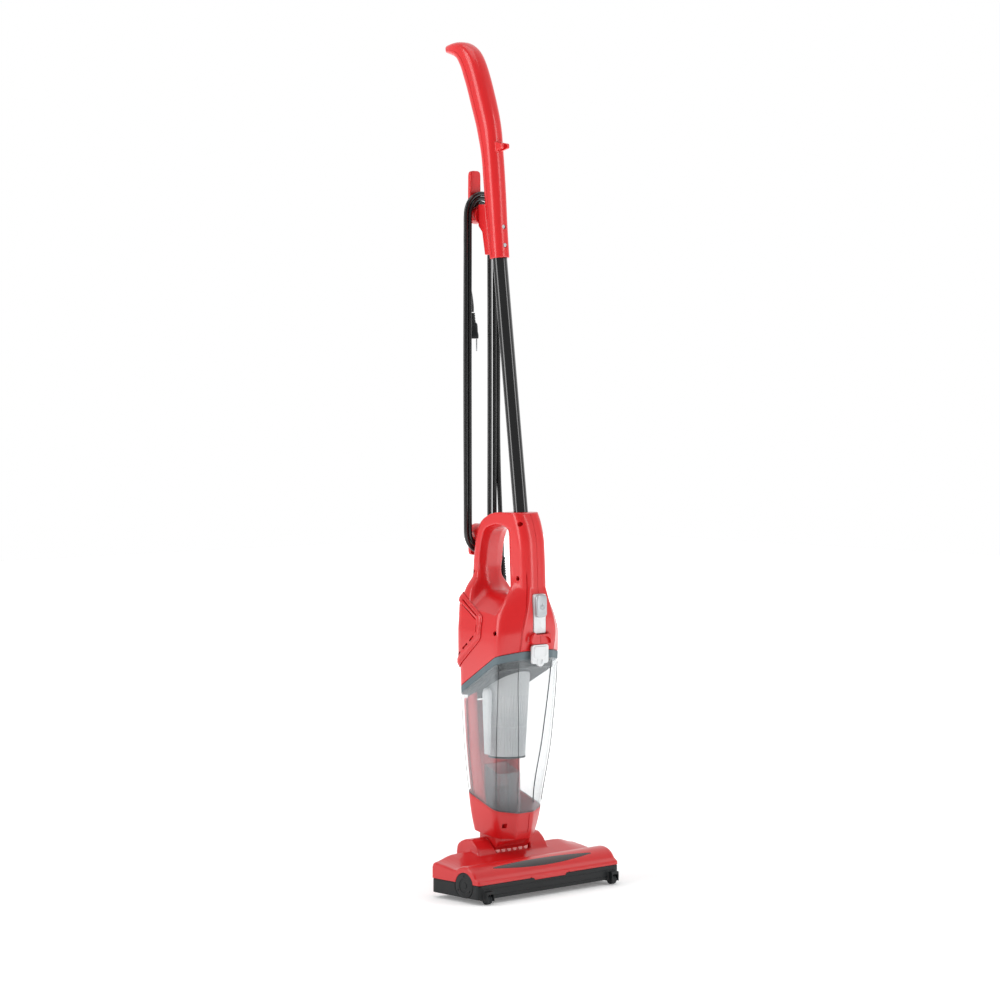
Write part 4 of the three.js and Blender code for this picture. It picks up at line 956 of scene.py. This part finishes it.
def end_cap(side, name):
    face, back = side * HEAD["half"], side * (HEAD["half"] - 6)
    rows = [(back, DISC_R), (face - side * 1.0, DISC_R), (face - side * 0.3, DISC_R - 0.3), (face, DISC_R - 1.2),
            (face, 9.2), (face - side * 0.6, 8.8), (face - side * 0.6, 4.6), (face, 4.2)]
    body = cut(lathe_x(name, rows, BARREL_Y, BARREL_Z), block("under", -FAR, FAR, -FAR, FAR, -FAR, HEAD["bottom"]),
               side_bar("bore", side, HEAD["half"] - 7, 121.5, BARREL_Y, BARREL_Z, 2.8, 32))
    for a in angles(3):
        y, z = BARREL_Y - 12.6 * sin(a), BARREL_Z + 12.6 * cos(a)
        if z > HEAD["bottom"] + 2:
            cut(body, side_bar("dimple", side, HEAD["half"] - 0.7, HEAD["half"] + 1, y, z, 1.1, 20))
    return body


def wheel(name, x, y, radius, width, bore):
    h = width / 2
    half = [(h, bore + 1.6), (h, radius * 0.62), (h - 0.5, radius * 0.66), (h - 0.5, radius * 0.8), (h, radius * 0.84),
            (h, radius - 1), (h - 0.3, radius - 0.3), (h - 1, radius), (1.1, radius), (0.8, radius - 0.5)]
    rows = [(x - w, r) for w, r in half] + [(x + w, r) for w, r in half[::-1]]
    return cut(lathe_x(name, rows, y, radius), bar("bore", 0, x - h - 1, x + h + 1, y, radius, bore, 32))


for side, name in ((-1, "left"), (1, "right")):
    finish(end_cap(side, f"end_disc_{name}"), "floor_head", BLACK, [f"end_cap_{name}"])
    finish(wheel(f"roller_fine_{name}", side * 111.5, -47.0, 6.0, 8.0, 1.8), f"front_roller_{name}", RUBBER,
           [f"front_roller_{name}"])
    finish(wheel(f"wheel_fine_{name}", side * 48.0, 53.0, 13.0, 12.0, 2.3), f"rear_wheel_{name}", RUBBER,
           [f"rear_wheel_{name}"])


# ---- brush roll
def brush_tufts():
    """Four winding rows of flat-ended tufts that stand on the brush's core."""
    sides = ((3, 2, 1, 0), (4, 5, 6, 7), (0, 1, 5, 4), (1, 2, 6, 5), (2, 3, 7, 6), (3, 0, 4, 7))
    points, faces = [], []
    for row in range(4):
        for k in range(62):
            x = -86.5 + k * 2.98
            angle = pi / 2 * row + 1.9 * (x + 86.5) / 185
            faces += [tuple(i + len(points) for i in side) for side in sides]
            for radius, half in ((7.6, 0.9), (14.8, 1.25)):
                for u, v in rect(-half, half, -0.9, 0.9):
                    a = angle + v / radius
                    points.append((x + u, *polar(BARREL_Y, BARREL_Z, radius, a)))
    return piece("brush_tufts", points, faces)


def brush_core():
    rows = [(-121, 2.2), (-120.6, 2.5), (-100.4, 2.5), (-100.4, 8.6), (-100, 9), (-96.5, 9), (-96.4, 8.4),
            (-89.6, 8.4), (-89.5, 9), (100, 9), (100.4, 8.6), (100.4, 2.5), (120.6, 2.5), (121, 2.2)]
    return lathe_x("brush_core", rows, BARREL_Y, BARREL_Z, 48)


finish(brush_core(), "brush_roll", BLACK, ["brush_roll"])
finish(brush_tufts(), "brush_roll", BRISTLE)


# ---- neck
def neck():
    # The upper drum carries a pale rule over a row of ribs.
    return cut(soften(copy_of("neck", "neck_shell"), 0.7, 5), block("rule_line", -28.5, 28.5, 20, 33, 53.6, 54.1))


finish(neck(), "neck", RED, ["neck"])


def rib(x):
    """A triangular wedge on the front of the drum, as (x, y, z) rings that follow the drum."""
    rings = []
    for t in np.linspace(0, 1, 8):
        z = 44.5 + 8.5 * t
        y = PIVOT_Y - sqrt(DRUM_R ** 2 - (z - PIVOT_Z) ** 2)
        half = 4.2 * t + 0.3
        rings.append(level(2, rect(x - half, x + half, y - 0.62, y + 1.2), z))
    return loft(f"neck_rib_{int(x + 60)}", rings)


for k in range(6):
    finish(rib(-24.5 + 10 * k), "neck", PALE)


# ---- dust cup
CUP_FLOOR, CUP_WALL, BASE_WALL, RAIL_R = 90.0, 2.2, 2.6, 5.0
SPIGOT = (20.0, 31.0, 58.0, 41.0, 2.6)


def rail(side, radius, low, high):
    """A rail inside the clear shell, which follows its rear corner."""
    rings = []
    for z in np.linspace(low, high, 30):
        rx, ry = between(BODY, [z])[0][4:6]
        cx, cy = rx - RAIL_R - CUP_WALL - 2.5, ry - RAIL_R - CUP_WALL - 10
        rings.append([(side * cx + radius * cos(a), cy + 1.9 * radius * sin(a), z) for a in angles(40)])
    return loft("rail", rings)


def cup_base():
    body = body_skin(0, 58, 160, 2.0, "cup_shoe")
    keep(body, below(sloped(*RIM), -0.3))
    keep(body, above(sloped(*MOUTH)))
    bowl = body_skin(BASE_WALL, 60, 200, 3.0, "bowl")
    cut(body, keep(bowl, block("high", -FAR, FAR, -FAR, FAR, CUP_FLOOR, FAR)))
    half, front, rear, bottom, wall = SPIGOT
    join(body, prism("spigot", rect(-half, half, front, rear, 2.5, 5), 2, bottom, 80))
    throat = rect(wall - half, half - wall, front + wall, rear - wall, 2, 5)
    rim_groove = slab([*sloped(97.6, RIM[1]), *sloped(98.1, RIM[1])[::-1]])
    # The duct's throat, the front facet's shallow recess, the small window beside it and the groove under the rim.
    cut(body, prism("throat", throat, 2, -5, FAR),
        cut(block("strip", -7.5, 7.5, -20, 22, 74, 98), body_skin(0.7, 60, 140, 3.0, "strip_inner")),
        prism("peephole", rect(-31, -25.5, 81.5, 87.5, 0.8, 4), 1, -10, 17),
        cut(rim_groove, body_skin(0.5, 58, 170, 3.0, "groove_inner")))
    return join(body, *[keep(rail(side, RAIL_R, 88, 300), below(SEAL_LINE, FILTER_LINE)) for side in (-1, 1)])


finish(cup_base(), "dust_cup", RED, ["cup_base"])


def cup_shell():
    body = cut(body_skin(0, 58, 330, 2.5, "cup_clear"), body_skin(CUP_WALL, 56, 332, 2.5, "hollow"))
    return keep(body, above(sloped(*RIM)), below(SEAL_LINE, -SEAL_HEIGHT - 0.3))


finish(cup_shell(), "dust_cup", CLEAR, ["cup_shell"])


def rear_wall():
    """The red wall behind the filter, just inside the clear shell; its rose is lighter than the red, painted light that
    stands in for light shining through the wall.
    """
    body = cut(body_skin(CUP_WALL + 0.3, 84, 310, 3.0, "rear_wall"), body_skin(CUP_WALL + 1.5, 80, 314, 3.0))
    return keep(body, block("behind", -60, 60, 66, FAR, 80, 320), above(sloped(*RIM), 0.4),
                below(SEAL_LINE, FILTER_LINE))


# The wall's lighter rose is painted light shining through it.
finish(rear_wall(), "dust_cup", ROSE_PAINTED_GLOW)


def on_plane(corner, z, slope, inset):
    """The point of the outline at one corner where it meets a sloped line."""
    at = z
    for _ in range(5):
        x, y, _z = body_ring(at, inset)[corner]
        at = z + slope * y
    return (x, y, at)


def painted_shade_lines():
    """Painted shade: near-black lines along the clear shell's facet corners and its lower rim, where the clear wall
    seen edge-on looks dark.
    """
    count = len(body_ring(100, 1.0))
    step = count // 8
    made = []
    for number, corner in enumerate((0, 1, 2, 3, 7, 6)):
        index = corner * step + step // 2
        path = []
        for z in np.linspace(112, 320, 60):
            x, y, _z = body_ring(z, 0.2)[index]
            seal = np.interp(y, *zip(*SEAL_LINE)) - SEAL_HEIGHT - 1
            if RIM[0] + RIM[1] * y + 0.4 < z < seal:
                path.append((x, y, z))
        made.append(sweep(f"painted_shade_line_{number + 1}", path, 0.7 if number in (1, 2) else 0.4, 8))
    ring = [on_plane(k, RIM[0] + 0.4, RIM[1], 0.9) for k in range(count)]
    made.append(sweep("painted_shade_rim", ring + [ring[0]], 0.4, 8))
    return made


# Painted shade: near-black lines along the clear shell's corners and lower rim.
for line in painted_shade_lines():
    finish(line, "dust_cup", SHADE_LINE_PAINT)


def inlet_duct():
    half, front, rear, wall, top = 20.0, 30.0, 59.0, 1.6, 160.0
    room = rect(wall - half, half - wall, front + wall, rear - wall, 1.4, 6)
    return cut(prism("duct_clear", rect(-half, half, front, rear, 2.4, 6), 2, CUP_FLOOR + 0.3, top),
               prism("room", room, 2, 60, FAR),
               slab([(front - 5, top - 14), (rear + 5, top + 2), (rear + 5, FAR), (front - 5, FAR)]))


finish(inlet_duct(), "dust_cup", CLEAR, ["inlet_duct"])
moulded("inlet_flap", "flap_leaf", "inlet_flap", RUBBER, 0.35, 2)


def floor_seal():
    """The grey lens-shaped gasket on the cup's floor, round the duct's foot."""
    outline = [(x, y) for x, y, z in body_ring(98, 4.4)]
    return cut(prism("floor_gasket", outline, 2, CUP_FLOOR + 0.05, CUP_FLOOR + 1.7),
               prism("foot", rect(-20.4, 20.4, 29.6, 59.4, 2.4, 5), 2, 60, FAR),
               *[rail(side, RAIL_R + 0.3, 88, 120) for side in (-1, 1)])


finish(floor_seal(), "dust_cup", SEAL_GREY)


def latch():
    """The cup's release: a rounded plate with a finger lip and a round boss."""
    half, low, high, back, depth = 14.5, 297.0, 321.5, -24.5, 4.5
    body = prism("latch_plate", rect(-half, half, low, high, 4, 8), 1, back - depth + 1.2, back)
    pad = rect(3 - half, half - 3, low + 7, high - 2.5, 3, 6)
    join(body, prism("pad", pad, 1, back - depth, back - 1),
         bar("boss", 1, back - depth + 0.3, back - 1, 0, low + 2.6, 6.4, 48))
    soften(body, 0.4, 3)
    return cut(body, prism("panel", rect(-9, 9, 306.5, 316, 2, 6), 1, back - depth - 1, back - depth + 0.5),
               bar("dimple", 1, back - depth - 1, back - depth + 1.4, 0, 300.2, 3.2, 40))


finish(latch(), "cup_latch", WHITE, ["cup_latch"])


# ---- filter
FILTER_Y, FILTER_LOW, FILTER_TOP = 36.0, 170.0, 300.0


def filter_radius(z):
    return 24.0 + 7.5 * (z - FILTER_LOW) / (FILTER_TOP - FILTER_LOW)


def filter_screen():
    """A conical sleeve whose outside carries fine upright pleats between plain bands."""
    sides, rings = 288, []
    heights = [170, 170.3, 171, 173.4, 173.6, 210, 210.4, 212.8, 213.2, 252, 252.4, 300]
    for z in heights:
        plain = z < 173.5 or 210.2 < z < 213 or z > 252.2
        ring = []
        for k, a in enumerate(angles(sides)):
            dip = 0.0 if plain else 0.75 * (0.5 - 0.5 * cos(2 * pi * k / 6))
            r = filter_radius(z) - dip - (0.8 if z == 170 else 0.0)
            ring.append((*polar(0, FILTER_Y, r, a), z))
        rings.append(ring)
    body = loft("filter_sleeve", rings)
    cut(body, turned("hollow", [(22.5, 171.5), (filter_radius(301) - 1.5, 301)], 0, FILTER_Y, 96))
    return keep(body, below(SEAL_LINE, FILTER_LINE))


finish(filter_screen(), "filter", GREY, ["filter_screen"])


def foot_ring():
    """The dark band round the sleeve's lower edge."""
    band = [(23.6, 170.2), (24.35, 170.2), (24.45, 172.8), (23.6, 172.8)]
    return cut(turned("filter_foot", band, 0, FILTER_Y, 96),
               turned("inside", [(23.4, 169), (23.5, 174)], 0, FILTER_Y, 96))


finish(foot_ring(), "filter", RUBBER)


def tower():
    """The pale round-topped housing beside the filter."""
    body = loft("side_tower", [level(2, rect(-34 - half, -34 + half, 37 - deep, 37 + deep, 1.6, 6), z)
                               for z, half, deep in ((176, 2.3, 4.0), (200, 2.7, 4.8), (235, 3.4, 5.8),
                                                     (254, 3.8, 6.3), (260, 3.2, 5.4), (263, 1.8, 3.4))])
    return keep(soften(body, 0.45, 6), below(SEAL_LINE, FILTER_LINE))


finish(tower(), "filter", WHITE)


# ---- finishes of the CAD nodes that stay
CAD_FINISH = {
    "red_shell": RED, "black_plastic": BLACK, "brush_bristle": BRISTLE, "smoked_window": SMOKE,
    "clear_plastic": CLEAR, "grey_seal": SEAL_GREY, "filter_media": PAPER, "grey_plastic": GREY,
    "silver_plastic": SILVER, "steel": STEEL, "rubber": RUBBER, "black_steel_tube": GLOSS, "cord_jacket": JACKET,
    "brass": BRASS,
}
slot_of = {entry["node"]: entry["material_slot"] for entry in frame["record"]["subparts"]}
for name, node in frame["nodes"].items():
    if node.hide_render:
        continue
    node.data.materials.clear()
    node.data.materials.append(CAD_FINISH.get(slot_of.get(name, ""), BLACK))

# ---- floor and light
FLOOR_HALF = 6.0
floor_mesh = bpy.data.meshes.new("floor")
floor_mesh.from_pydata(level(2, rect(-FLOOR_HALF, FLOOR_HALF, -FLOOR_HALF, FLOOR_HALF), 0), [], [(0, 1, 2, 3)])
floor = add_object("floor", floor_mesh)
floor.location.z = -0.0005
floor_mesh.materials.append(material("floor_paper", (250, 250, 250), (247, 247, 247), 0.75, grain=60, bump=0.0,
                                     patch=2, specular=0.1))


def ramp(tree, source, low, high, least):
    """source mapped to a rise from least to 1 between low and high."""
    made = add_node(tree, "MapRange", source, "Value", From_Min=low, From_Max=high, To_Min=least, To_Max=1.0)
    made.interpolation_type = "SMOOTHSTEP"
    return made.outputs["Result"]


# Far from the object the floor glows as white as the room behind it.
tree = floor_mesh.materials[0].node_tree
distance = tree.nodes.new("ShaderNodeVectorMath")
distance.operation = "LENGTH"
tree.links.new(add_node(tree, "TexCoord").outputs["Object"], distance.inputs[0])
paper = tree.nodes["Principled BSDF"]
tree.links.new(ramp(tree, distance.outputs["Value"], 0.25, 1.3, 0.16), paper.inputs["Emission Strength"])
set_inputs(paper, Emission_Color=(1, 1, 1, 1))

world = bpy.data.worlds.new("studio")
scene.world = world
world.use_nodes = True
tree = world.node_tree
# The room is white behind the object and dimmer on the camera's side.
facing = tree.nodes.new("ShaderNodeVectorMath")
facing.operation = "DOT_PRODUCT"
look = (Vector(TARGET) - Vector(camera.location)).normalized()
facing.inputs[1].default_value = (look.x, look.y, 0.25)
tree.links.new(add_node(tree, "TexCoord").outputs["Generated"], facing.inputs[0])
room = tree.nodes["Background"]
tree.links.new(ramp(tree, facing.outputs["Value"], -0.2, 0.85, 0.36), room.inputs["Strength"])
set_inputs(room, Color=(1, 1, 1, 1))
scene.view_settings.view_transform = "Standard"


def softbox(name, azimuth, elevation, distance, width, height, power, aim=(0.0, 0.0, 0.55)):
    """A soft area light that looks at aim."""
    a, e = radians(azimuth), radians(elevation)
    data = bpy.data.lights.new(name, "AREA")
    data.shape = "RECTANGLE"
    data.size, data.size_y = width, height
    data.energy = power
    lamp = add_object(name, data)
    away = Vector((sin(a) * cos(e), -cos(a) * cos(e), sin(e)))
    lamp.location = Vector(aim) + away * distance
    lamp.rotation_euler = (-away).to_track_quat("-Z", "Y").to_euler()
    return lamp


softbox("key", -112, 22, 2.2, 0.8, 2.2, 24)
softbox("side", 30, 15, 2.4, 0.6, 2.2, 16)
softbox("top", -30, 82, 2.4, 1.8, 1.8, 17)
